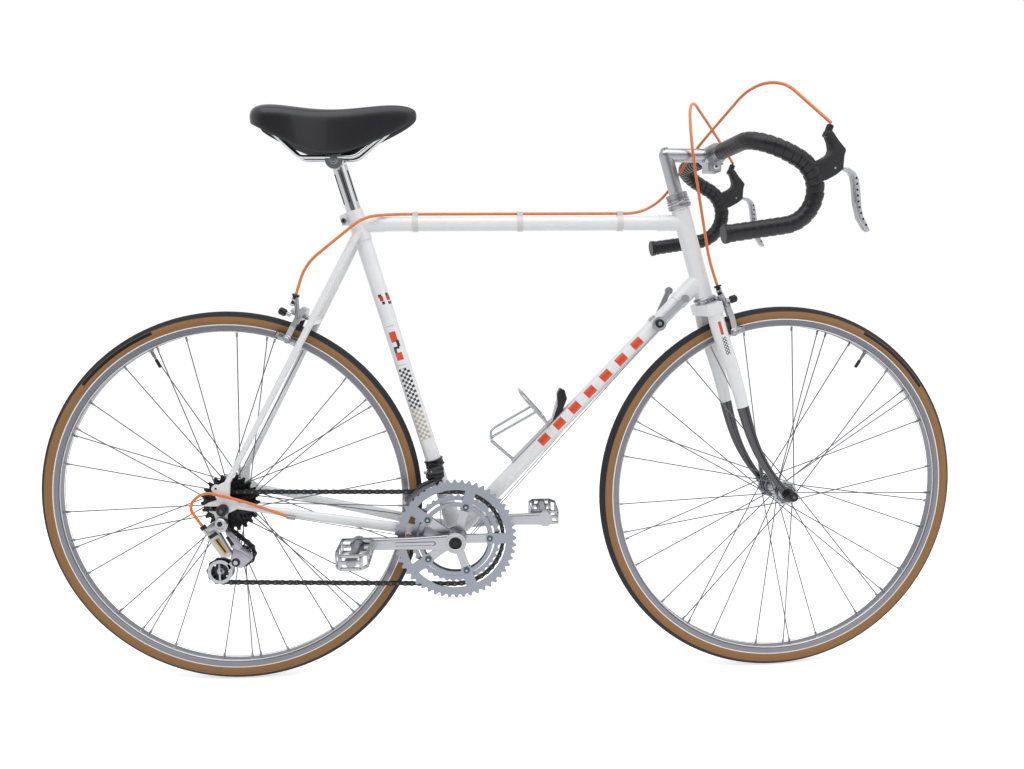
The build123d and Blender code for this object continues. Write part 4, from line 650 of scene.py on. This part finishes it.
# Rear brake housing: held from the hood to the brake, and bending where it leaves the stem
rearRoute = [steered @ place(980.1, -201, 625.2), place(924.6, -89, 736.5), place(832.6, 27, 613.5),
             place(781.2, 23, 533.3), place(734, 0, 506), place(297, 0, 506), place(251.1, -32.3, 500),
             place(150.1, -38, 419.8), place(129.1, -30, 362.8)]
housing = asMesh(roundedCurve("rearRoute", [toPlace.inverted() @ point for point in rearRoute], [None] * 7, depth=2.5,
                              resolution=12), "rearBrakeHousing", [orange])
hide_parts("rear_brake_housing")
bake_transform(housing)
print("housing")

# Hoods: a slim rubber body with a narrow horn for the housing
hoodLook = {"halfWidth": 12.0, "hornShare": 0.66, "hornHeight": 588.0, "bevel": 3.5}
hoodOutline = [(971, 612), (980.5, 613), (989, 601), (1002.5, 583), (999.5, 575), (998.5, 554), (988, 545.5),
               (970, 536), (955, 538), (946, 552), (949, 565), (964, 570), (976, 576.5), (980, 585), (975, 597),
               (971.5, 605)]
bm = bmesh.new()
for side in (-1, 1):
    hood = bmesh.new()
    addPlate(hood, hoodOutline, -hoodLook["halfWidth"], hoodLook["halfWidth"], 0, hoodLook["bevel"], 3)
    for vert in hood.verts:
        if vert.co.z > hoodLook["hornHeight"]:
            vert.co.y *= hoodLook["hornShare"]
    addMesh(bm, hood, Matrix.Translation((0, side * barHalf, 0)))
    addRod(bm, (974.5, side * 200.5, 608), (979.5, side * 200.8, 622), 5.6, 20, 1, 1.2)
    addRod(bm, (972.5, side * 200.5, 603), (975.5, side * 200.5, 610), 6.6, 20, 1, 1.0)
    addPin(bm, (984, 555), side * (barHalf - 12.4), side * (barHalf + 12.4), 1.8, 12, 2, 0.4)
finishPiece("hoodBodies", bm, "steering", [hoodRubber, blackPlastic, steel], onFork, 40, ["brake_hoods"])
print("hoods")

# Brake levers: slim drilled blades
leverLook = {"half": 5.6, "bevel": 2.2, "hole": 1.9, "x": 903.1, "z": 523.2}   # its outline is set out from x, z
leverOutline = [(97, 35), (97, 31), (107, 27.5), (112, 21), (115, 6), (118, -20), (124.5, -44), (136.5, -62),
                (143, -65.5), (145.5, -62.5), (140, -52), (134, -42), (130, -27), (127.5, -4), (124, 16), (118, 27),
                (108, 33.5)]
leverHoles = [(119.5, 18), (121, 9), (121.5, 0), (122.5, -9), (124, -18), (126, -27), (129, -36), (133, -45),
              (138, -54)]
bm = bmesh.new()
for side in (-1, 1):
    low, high = side * barHalf - leverLook["half"], side * barHalf + leverLook["half"]
    addPlate(bm, [(leverLook["x"] + x, leverLook["z"] + z) for x, z in leverOutline], low, high, 0,
             leverLook["bevel"], 3)
    for x, z in leverHoles:
        x, z = leverLook["x"] + x, leverLook["z"] + z
        addPin(bm, (x, z), low - 0.15, high + 0.15, leverLook["hole"], 14, 1, 0.1)
finishPiece("leverBlades", bm, "steering", [alloy, blackSteel], onFork, 50, ["brake_levers"])
print("brake levers")

# Axles: dark skewer nuts on the drive side
nutProfile = [(5.0, 0), (9.8, 0), (9.8, 7.0), (8.4, 12.0), (7.4, 13.0), (0, 13.0)]
for prefix, body, x, face in (("front", "steering", wheelbase, 70.0), ("rear", "frame", 0.0, 83.0)):
    bm = bmesh.new()
    addTurned(bm, (x, -face + 12.0, 0), (x, -face - 1.0, 0), nutProfile, 24, 0)
    addPin(bm, (x, 0), -face - 0.8, -face - 1.8, 3.2, 20, 1, 0.3)
    finishPiece(prefix + "AxleNut", bm, body, [blackSteel, pinSteel], onFork if prefix == "front" else toPlace)
print("axles")

# Headset: stepped rings on both stacks
bm = bmesh.new()
for start, profile in (
        (545.6, [(13.0, 0), (19.6, 0), (20.2, 1.5), (19.6, 3.2), (18.2, 3.8), (18.2, 4.6), (20.0, 5.2), (20.0, 6.6),
                 (17.8, 7.0), (17.8, 8.2), (18.6, 8.8), (18.6, 16.6), (17.4, 17.6), (13.0, 17.6)]),
        (361.8, [(13.0, 0), (18.8, 0), (18.8, 3.2), (16.0, 4.4), (13.0, 4.4)])):
    addTurned(bm, onHead(start), onHead(start + 30), profile, 40)
finishPiece("headsetNutRings", bm, "steering", [steel], onFork, 30)
bm = bmesh.new()
for start, profile in (
        (536.2, [(14.0, 0), (19.0, 0), (20.6, 3.5), (20.6, 6.0), (19.6, 6.6), (19.6, 8.0), (14.0, 8.0)]),
        (367.6, [(14.0, 0), (20.0, 0), (20.6, 1.0), (20.6, 2.6), (18.6, 4.8), (14.0, 4.8)])):
    addTurned(bm, onHead(start), onHead(start + 30), profile, 40)
finishPiece("headsetCupRings", bm, "frame", [steel], toPlace, 30)
print("headset")

# Stem: the clamp bolt across its block and the wedge bolt in the top corner
bm = bmesh.new()
addPin(bm, (864.5, 585.5), -19.5, 19.5, 5.0, 24, 0, 1.0)
for side in (-1, 1):
    addPin(bm, (864.5, 585.5), side * 19.0, side * 19.8, 2.7, 6, 1)
addBlock(bm, (876.5, 0, 590.5), (3.0, 33.0, 1.6), 1)
addRod(bm, onHead(642.0), onHead(646.0), 7.0, 24, 0, 1.2)
addRod(bm, onHead(645.5), onHead(646.3), 3.2, 6, 1)
finishPiece("stemBolts", bm, "steering", [chrome, blackPlastic], onFork)

# Brakes: cable barrels, quick-release knobs, pivot nuts, pads and their holders
padRadius = 311.0   # from the axle to the middle of a brake pad


# The directions down and out are in the plane of the wheel.
def brakeDetails(name, body, matrix, pivot, down, out, barrel, along, knob):
    bm = bmesh.new()
    pivot, down, out, barrel, along = (Vector(item) for item in (pivot, down, out, barrel, along))
    across = Vector((0, 1, 0))
    wheelX = wheelbase if body == "steering" else 0.0
    toWheel = pivot - Vector((wheelX, 0, 0))
    half = toWheel.dot(down)
    reach = -half - math.sqrt(half * half - (toWheel.length_squared - padRadius ** 2))
    turned = Matrix((across, out, down)).transposed().to_4x4()
    for side in (-1, 1):
        pad = pivot + down * reach - out * 2.0 + across * side * 18.3
        addBlock(bm, (0, 0, 0), (9.6, 50.0, 10.5), 0, 2.0, Matrix.Translation(pad) @ turned)
        addBlock(bm, (0, 0, 0), (5.0, 36.0, 12.0), 1, 1.5, Matrix.Translation(pad + across * side * 5.0) @ turned)
        bolt = pad + across * side * 7.0 - down * 2.0
        addRod(bm, bolt, bolt + across * side * 14.0, 7.5, 24, 1, 2.0)
        addRod(bm, bolt + across * side * 13.0, bolt + across * side * 19.0, 5.0, 24, 1, 2.4)
    addRod(bm, pivot + out * 3.0, pivot + out * 17.0, 6.8, 6, 1, 0.8)
    addRod(bm, pivot + out * 6.0, pivot + out * 9.0, 9.0, 28, 1, 0.6)
    addRod(bm, pivot + out * 16.0, pivot + out * 20.0, 4.0, 16, 1, 1.5)
    for reachBack, length, radius, finish in ((6.0, 3.5, 6.6, 0), (2.5, 5.0, 4.4, 0), (-2.5, 4.0, 5.2, 1),
                                              (-6.5, 5.0, 4.4, 0), (-11.5, 3.0, 5.6, 1)):
        addRod(bm, barrel - along * reachBack, barrel - along * (reachBack - length), radius, 20, finish, 0.8)
    knobStart, knobEnd = Vector(knob[0]), Vector(knob[1])
    stem = knobStart - (knobEnd - knobStart).normalized() * 7.0
    addRod(bm, knobStart, knobEnd, 6.6, 24, 0, 2.4)
    addRod(bm, stem, knobStart + (knobEnd - knobStart) * 0.1, 3.4, 16, 1)
    finishPiece(name, bm, body, [blackPlastic, alloy], matrix)


brakeDetails("frontBrakeDetails", "steering", onFork, (884.05, 0, 345.65), (headCos, 0, -headSin),
             (headSin, 0, headCos), (867.9, -30, 372.2), (0.29, -0.11, -0.95),
             ((886.0, -37, 352.0), (899.0, -37, 355.8)))
brakeDetails("rearBrakeDetails", "frame", toPlace, (132.8, 0, 331.3), (-0.471, 0, -0.882), (-0.882, 0, 0.471),
             (129.1, -30, 362.8), (-0.34, 0.13, -0.93), ((115.0, -37, 336.0), (102.5, -37, 342.0)))
print("brakes")

# Shift levers: friction screws in the pivots
bm = bmesh.new()
for side in (-1, 1):
    addPin(bm, (767, 312), side * 25.5, side * 30.0, 7.6, 24, 0, 1.4)
    addPin(bm, (767, 312), side * 29.5, side * 31.5, 3.4, 16, 1, 0.8)
finishPiece("shiftScrews", bm, "frame", [blackPlastic, steel], toPlace)

# Rear derailleur: parallelogram with a gold panel, lower knuckle and an open round cage with two toothed pulleys
mechLook = {"pulleyOffset": -50.6, "tip": 15.4, "root": 12.6, "teeth": 10}


def toothedOutline(centre, teeth, tip, root):
    return [onCircle(centre, root if index % 4 > 1 else tip, 90 * (index + 0.5) / teeth)
            for index in range(teeth * 4)]


bm = bmesh.new()
addPin(bm, (-3, -22), -68.2, -84.0, 10.0, 32, 0, 2.0)
addPin(bm, (-3, -22), -83.5, -84.6, 5.0, 6, 1)
addPlate(bm, [(-29, -31), (-24, -25), (-10, -16), (3, -14), (9, -24), (6, -36), (-6, -39), (-18, -46)],
         -82.0, -71.0, 0, 2.0)
addPlate(bm, [(-26, -38), (-12, -30), (-3, -41), (15, -75), (9, -82), (-3, -82), (-24, -50)],
         -84.0, -73.0, 0, 2.2, 3)
addPlate(bm, [(-15, -50), (-6, -45), (11, -71), (3, -78)], -84.6, -83.4, 2, 0.5)
addPlate(bm, [(-11, -50), (-8.5, -48.5), (6.5, -71), (4, -73)], -84.9, -84.0, 1)
addPlate(bm, [(-24, -43), (-20, -48.5), (-6, -40), (-9.5, -34.5)], -84.6, -82.0, 1, 0.6)
addPlate(bm, [(3, -36), (12, -38), (31, -66), (24, -72), (12, -66)], -79.0, -68.0, 3, 2.0)
addPlate(bm, [(4, -47), (9, -45), (19, -60), (14, -63)], -79.5, -78.0, 1, 0.4)
addPlate(bm, [(10, -88), (16, -64), (30, -70), (44, -81), (46, -89), (30, -103), (18, -102)],
         -80.0, -61.0, 3, 3.0, 3)
addPin(bm, (20, -92), -79.0, -82.0, 7.5, 28, 1, 1.0)
addPin(bm, (20, -92), -81.5, -82.8, 4.2, 6, 0, 0.3)
addRod(bm, (-34.0, -80, -25.5), (-30.0, -80, -31.5), 5.4, 20, 1, 0.8)
addRod(bm, (-30.5, -80, -31.0), (-24.5, -80, -40.0), 4.6, 20, 0, 0.6)
tensionX, tensionZ = mechPulleys[1]
cageOutline = [(-2, -103), (12, -93), (14, -78), (24, -71), (36, -76), (38, -88), (30, -98), (8, -108), (2, -112)]
for near, far in ((-60.2, -58.6), (-44.6, -43.0)):
    ring = [(15.6, 0), (21.5, 0), (21.5, far - near), (15.6, far - near), (15.6, 0)]
    addTurned(bm, (tensionX + 1, near, tensionZ + 1), (tensionX + 1, far, tensionZ + 1), ring, 48, 0)
    addPlate(bm, cageOutline, near, far, 0, 0.4)
for pulley in mechPulleys:
    middle = mechLook["pulleyOffset"]
    teeth = toothedOutline(pulley, mechLook["teeth"], mechLook["tip"], mechLook["root"])
    addPlate(bm, teeth, middle - 2.2, middle + 2.2, 1, 0.3, 1)
    addPin(bm, pulley, -61.2, -41.4, 3.2, 16, 0, 0.5)
    addPin(bm, pulley, -54.4, -46.8, 6.6, 24, 3, 0.8)
addPlate(bm, [(-16.5, -101), (-13.5, -101), (-13.5, -132), (-16.5, -132)], -60.0, -58.8, 0, 0.3)
finishPiece("rearMech", bm, "frame", [alloy, blackPlastic, gold, lavenderAlloy], toPlace, 35, ["rear_derailleur"])
print("rear derailleur")

# Front derailleur: clamp, domed arm and a narrow curved cage
guideLook = {"inner": 106.0, "outer": 115.5, "start": 108.0, "end": 143.0, "low": -54.5, "high": -36.5, "sheet": 1.4}


def guideOutline(inner, outer, start, end):
    return arc(shell, outer, start, end, 9) + arc(shell, inner, end, start, 9)


clampProfile = [(14.35, 0), (17.0, 0), (18.0, 1.5), (16.6, 3.5), (16.6, 10.5), (18.0, 12.5), (17.0, 14.0),
                (14.35, 14.0)]
bm = bmesh.new()
addTurned(bm, onSeatTube(128), onSeatTube(142), clampProfile, 40, 0)
inner, outer, start, end = (guideLook[key] for key in ("inner", "outer", "start", "end"))
low, high, sheet = guideLook["low"], guideLook["high"], guideLook["sheet"]
addPlate(bm, guideOutline(inner, outer, start, end), low, low + sheet, 2, 0.4)
addPlate(bm, guideOutline(inner - 4, outer, start - 6, end), high - sheet, high, 2, 0.4)
addPlate(bm, guideOutline(outer - 3, outer + 1, start, 124.0), low, high, 2, 0.5)
tail = onCircle(shell, outer - 3, end - 1)
addPin(bm, tail, -54.7, -36.0, 3.4, 16, 1, 0.6)
addRod(bm, (349, -40, 46), (381, -40, 49), 8.5, 28, 0, 6.0)
addRod(bm, (352, -35, 50), (378, -22, 56), 7.0, 24, 0, 2.0)
addBlock(bm, (362, -19, 58), (20, 12, 12), 0, 2.5)
for along in (356, 372):
    addRod(bm, (along, -44, 45), (along + 3, -44, 55), 1.6, 10, 1, 0.5)
addRod(bm, (345, -40, 52), (352, -40, 52.5), 3.0, 16, 1, 0.6)
finishPiece("frontMech", bm, "frame", [blackPlastic, steel, pinSteel], toPlace, 35, ["front_derailleur"])
print("front derailleur")

# Crankset: bolt recesses, slots and ring bolts
crankLook = {"face": 72.0, "slotStart": 38.0, "slotEnd": 112.0, "slotHeight": 7.0, "boltCircle": 61.0, "arms": 5}
bm = bmesh.new()
for side in (-1, 1):
    face = side * crankLook["face"]
    addPin(bm, shell, face - side * 3.0, face - side * 1.4, 10.9, 32, 1)
    addPin(bm, shell, face - side * 1.6, face + side * 0.6, 6.6, 6, 1, 0.5)
    addTurned(bm, (shellX, face + side * 2.0, shellZ), (shellX, face + side * 4.0, shellZ), [
        (11.0, 0), (15.5, 0), (15.0, 0.7), (11.6, 0.7), (11.0, 0)], 40, 0)
    middle = shellX + side * (crankLook["slotStart"] + crankLook["slotEnd"]) / 2
    length = crankLook["slotEnd"] - crankLook["slotStart"]
    for grow, lift, finish in ((0.0, 0.35, 1), (-1.7, 0.7, 0)):
        outer, radius = length / 2 + grow / 2, (crankLook["slotHeight"] + grow) / 2
        outline = arc((middle + outer, shellZ), radius, -90, 90) + arc((middle - outer, shellZ), radius, 90, 270)
        low, high = sorted((face - side * 0.6, face + side * lift))
        addPlate(bm, outline, low, high, finish)
for index in range(crankLook["arms"]):
    x, z = onCircle(shell, crankLook["boltCircle"], 72 * index)
    addPin(bm, (x, z), -50.8, -52.2, 5.4, 20, 2, 0.4)
    addPin(bm, (x, z), -51.8, -52.8, 2.4, 6, 0, 0.2)
finishPiece("crankDetails", bm, "crankset", [alloy, blackPlastic, tealSteel], toPlace)

# Pedals: a turned barrel in an open cage of rails and bars with toothed upper and lower edges
pedalLook = {"inner": 76.0, "shoulder": 148.0, "tip": 162.5, "half": 26.0, "tipHalf": 17.0, "rail": 11.0, "bars": 4,
             "teeth": 8}
innerEnd, shoulder, tipEnd = pedalLook["inner"], pedalLook["shoulder"], pedalLook["tip"]
wide, narrow = pedalLook["half"], pedalLook["tipHalf"]
barrelProfile = [(6.3, 0), (11.0, 0), (11.0, 5.0), (8.8, 8.0), (8.2, 40.0), (9.2, 70.0), (10.4, 74.0), (10.4, 84.0),
                 (8.6, 86.0), (8.2, 88.5), (5.0, 90.0), (0, 90.0)]
corners = [(-wide, innerEnd), (-wide, shoulder), (-narrow, tipEnd), (narrow, tipEnd), (wide, shoulder),
           (wide, innerEnd)]
for sideName, side, x in (("right", -1, 230.0), ("left", 1, 570.0)):
    bm = bmesh.new()
    addTurned(bm, (x, side * 75.5, shellZ), (x, side * 166, shellZ), barrelProfile, 32, 1)
    for lift in (-1, 1):
        rail = shellZ + lift * pedalLook["rail"]
        for start, end in zip(corners, corners[1:] + corners[:1]):
            middle = Vector((x + (start[0] + end[0]) / 2, side * (start[1] + end[1]) / 2, rail))
            lean = Matrix.Rotation(math.atan2(side * (end[1] - start[1]), end[0] - start[0]), 4, "Z")
            size = (math.dist(start, end) + 2.0, 2.6, 6.0)
            addBlock(bm, (0, 0, 0), size, 0, 0.7, Matrix.Translation(middle) @ lean)
        for end in (-1, 1):
            for index in range(pedalLook["teeth"]):
                y = innerEnd + (shoulder - innerEnd) * (index + 0.5) / pedalLook["teeth"]
                addBlock(bm, (x + end * wide, side * y, rail + lift * 2.6), (2.4, 4.4, 2.6), 0, 0.4)
    for end in (-1, 1):
        for index in range(pedalLook["bars"]):
            y = innerEnd + (shoulder - innerEnd) * index / (pedalLook["bars"] - 1)
            addBlock(bm, (x + end * wide, side * y, shellZ), (2.4, 6.0, 22.0), 0, 0.6)
        addBlock(bm, (x + end * narrow, side * tipEnd, shellZ), (6.0, 2.6, 22.0), 0, 0.6)
        for y, reach in ((innerEnd + 1.5, wide), (tipEnd, narrow)):
            addBlock(bm, (x + end * (reach + 8.0) / 2, side * y, shellZ), (reach - 6.0, 3.0, 7.0), 0, 0.8)
    pedal = sideName + "_pedal"
    finishPiece(sideName + "PedalCage", bm, pedal + "_body", [alloy, steel], toPlace, 40, [pedal])
print("cranks and pedals")

# Saddle post: flutes, clamp bolt and the binder bolt of the lug
bm = bmesh.new()
for turn in range(-60, 241, 60):
    angle = math.radians(turn)
    outward = Vector((seatSin, 0, seatCos)) * math.sin(angle) * 13.0 + Vector((0, -13.0, 0)) * math.cos(angle)
    addRod(bm, Vector(onSeatTube(618)) + outward, Vector(onSeatTube(672)) + outward, 1.3, 8, 1, 0.6)
for side in (-1, 1):
    addPin(bm, (202, 596), side * 22.5, side * 27.0, 7.4, 6, 0, 0.8)
    addPin(bm, (202, 596), side * 26.5, side * 28.5, 4.0, 16, 0, 1.0)
binder = Vector(onSeatTube(592.0, -21.0))
addRod(bm, binder + Vector((0, -12.5, 0)), binder + Vector((0, 12.5, 0)), 5.0, 24, 0, 0.8)
for side in (-1, 1):
    addRod(bm, binder + Vector((0, side * 12.0, 0)), binder + Vector((0, side * 12.9, 0)), 2.8, 6, 1)
finishPiece("postBolts", bm, "frame", [steel, blackPlastic], toPlace)

# Wheels: a pale ring painted along the outer and inner lips of each rim as their highlight, and a plain dark label
# patch on each tan wall
labelLook = {"from": 63, "to": 93, "lift": 0.2, "thickness": 0.3, "span": 27.0}
for prefix, labelStart in (("front", 62.0), ("rear", 139.4)):
    bm = bmesh.new()
    for side in (-1, 1):
        # The pale rings at the outer and inner lips of the rim are painted highlight
        addMesh(bm, revolve([(316.9, side * 8.6), (317.7, side * 9.2), (317.5, side * 10.5), (316.0, side * 10.7),
                             (315.2, side * 10.3)], 144), None, 0)
        addMesh(bm, revolve([(304.4, side * 10.3), (303.8, side * 10.6), (303.0, side * 9.4)], 144), None, 0)
        patch = bmesh.new()
        radius = wallRadius + labelLook["lift"]
        verts = [patch.verts.new((along, side * across, 0)) for along, across in arc(
            (tubeCentre, 0), radius, labelLook["from"], labelLook["to"])]
        edges = [patch.edges.new(pair) for pair in zip(verts, verts[1:])]
        bmesh.ops.spin(patch, geom=verts + edges, cent=(0, 0, 0), axis=(0, 1, 0), dvec=(0, 0, 0),
                       angle=math.radians(labelLook["span"]), steps=18, use_merge=False)
        bmesh.ops.recalc_face_normals(patch, faces=patch.faces)
        bmesh.ops.solidify(patch, geom=patch.faces[:], thickness=labelLook["thickness"])
        addMesh(bm, patch, Matrix.Rotation(-math.radians(labelStart), 4, "Y"), 1)
    finishPiece(prefix + "RimDetails", bm, prefix + "_wheel", [rimEdgeHighlight, blackPlastic], wheelMatrix(prefix), 35)
print("wheels")

# Bottle cage: the black hook that holds the bottle's neck
bm = bmesh.new()
hookOutline = [(256, 14.5), (270, 14.5), (296, 27), (312, 43), (322, 46), (326, 38), (318, 24), (296, 14.5)]
addPlate(bm, [onDownTube(*point)[::2] for point in hookOutline], -8.6, 8.6, 0, 1.5)
finishPiece("cageHook", bm, "frame", [blackPlastic], toPlace)
print("bottle cage")

# Camera, light and floor
cameraData = bpy.data.cameras.new("camera")
cameraData.lens = 29.23
camera = bpy.data.objects.new("camera", cameraData)
bpy.context.scene.collection.objects.link(camera)
camera.location = (0.27235, -1.49040, -0.28701)
camera.rotation_euler = Euler([math.radians(angle) for angle in (82.6593, 0.3846, -2.6398)])
bpy.context.scene.camera = camera
bpy.context.scene.view_settings.view_transform = "Standard"

# The room behind the camera is darker than the white sweep
studioLook = {"ambient": 0.5, "roomDepth": 0.78, "aim": (0.3, 0, -0.6), "floorGlow": 0.62}


def newLamp(name, location, energy, size):
    data = bpy.data.lights.new(name, "AREA")
    data.energy = energy
    data.shape = "RECTANGLE"
    data.size, data.size_y = size
    lamp = bpy.data.objects.new(name, data)
    lamp.location = location
    lamp.rotation_euler = (Vector(studioLook["aim"]) - Vector(location)).to_track_quat("-Z", "Y").to_euler()
    bpy.context.scene.collection.objects.link(lamp)


newLamp("topSoftbox", (0.3, -1.0, 2.0), 48, (4.0, 2.2))
newLamp("sideSoftbox", (2.2, -1.8, 0.6), 9, (2.0, 1.6))
world = bpy.data.worlds.new("studio")
bpy.context.scene.world = world
world.use_nodes = True
tree = world.node_tree
background = tree.nodes["Background"]
background.inputs["Color"].default_value = (0.97, 0.98, 1.0, 1)
background.inputs["Strength"].default_value = studioLook["ambient"]
sweep = shaderNode(tree, "ShaderNodeBackground", {"Color": (1, 1, 1, 1)})
direction = shaderNode(tree, "ShaderNodeTexCoord")
axes = shaderNode(tree, "ShaderNodeSeparateXYZ")
behind = shaderNode(tree, "ShaderNodeMapRange", {"From Min": -0.25, "From Max": -0.75},
                    interpolation_type="SMOOTHSTEP")
raised = shaderNode(tree, "ShaderNodeMapRange", {"From Min": 0.75, "From Max": 0.3}, interpolation_type="SMOOTHSTEP")
dark = shaderNode(tree, "ShaderNodeMath", operation="MULTIPLY")
level = shaderNode(tree, "ShaderNodeMath", {1: -studioLook["roomDepth"], 2: 1.0}, operation="MULTIPLY_ADD")
rays = shaderNode(tree, "ShaderNodeLightPath")
glossy = shaderNode(tree, "ShaderNodeMath", operation="MAXIMUM")
seen = shaderNode(tree, "ShaderNodeMath", operation="MAXIMUM")
mix = shaderNode(tree, "ShaderNodeMixShader")
wire(tree, (direction, "Generated", axes, "Vector"), (axes, "Y", behind, "Value"), (axes, "Z", raised, "Value"),
     (behind, "Result", dark, 0), (raised, "Result", dark, 1), (dark, "Value", level, 0),
     (level, "Value", sweep, "Strength"), (rays, "Is Camera Ray", glossy, 0), (rays, "Is Glossy Ray", glossy, 1),
     (glossy, "Value", seen, 0), (rays, "Is Transmission Ray", seen, 1), (seen, "Value", mix, "Fac"),
     (background, "Background", mix, 1), (sweep, "Background", mix, 2),
     (mix, "Shader", tree.nodes["World Output"], "Surface"))

bm = bmesh.new()
bmesh.ops.create_grid(bm, x_segments=1, y_segments=1, size=14.0)
floorMesh = bpy.data.meshes.new("floor")
bm.to_mesh(floorMesh)
floor = bpy.data.objects.new("floor", floorMesh)
bpy.context.scene.collection.objects.link(floor)
floor.location.z = sizeBefore[0].z
floorPaint = newMaterial("floorPaint", (0.93, 0.93, 0.93), roughness=0.9, mottle=0.0)
floorTree = floorPaint.node_tree
floorRays = shaderNode(floorTree, "ShaderNodeLightPath")
floorSeen = shaderNode(floorTree, "ShaderNodeMath", operation="MAXIMUM")
floorGlow = shaderNode(floorTree, "ShaderNodeMath", {1: studioLook["floorGlow"]}, operation="MULTIPLY")
floorShader = floorTree.nodes["Principled BSDF"]
floorShader.inputs["Emission Color"].default_value = (1, 1, 1, 1)
wire(floorTree, (floorRays, "Is Camera Ray", floorSeen, 0), (floorRays, "Is Glossy Ray", floorSeen, 1),
     (floorSeen, "Value", floorGlow, 0), (floorGlow, "Value", floorShader, "Emission Strength"))
floor.data.materials.append(floorPaint)
print("stage")
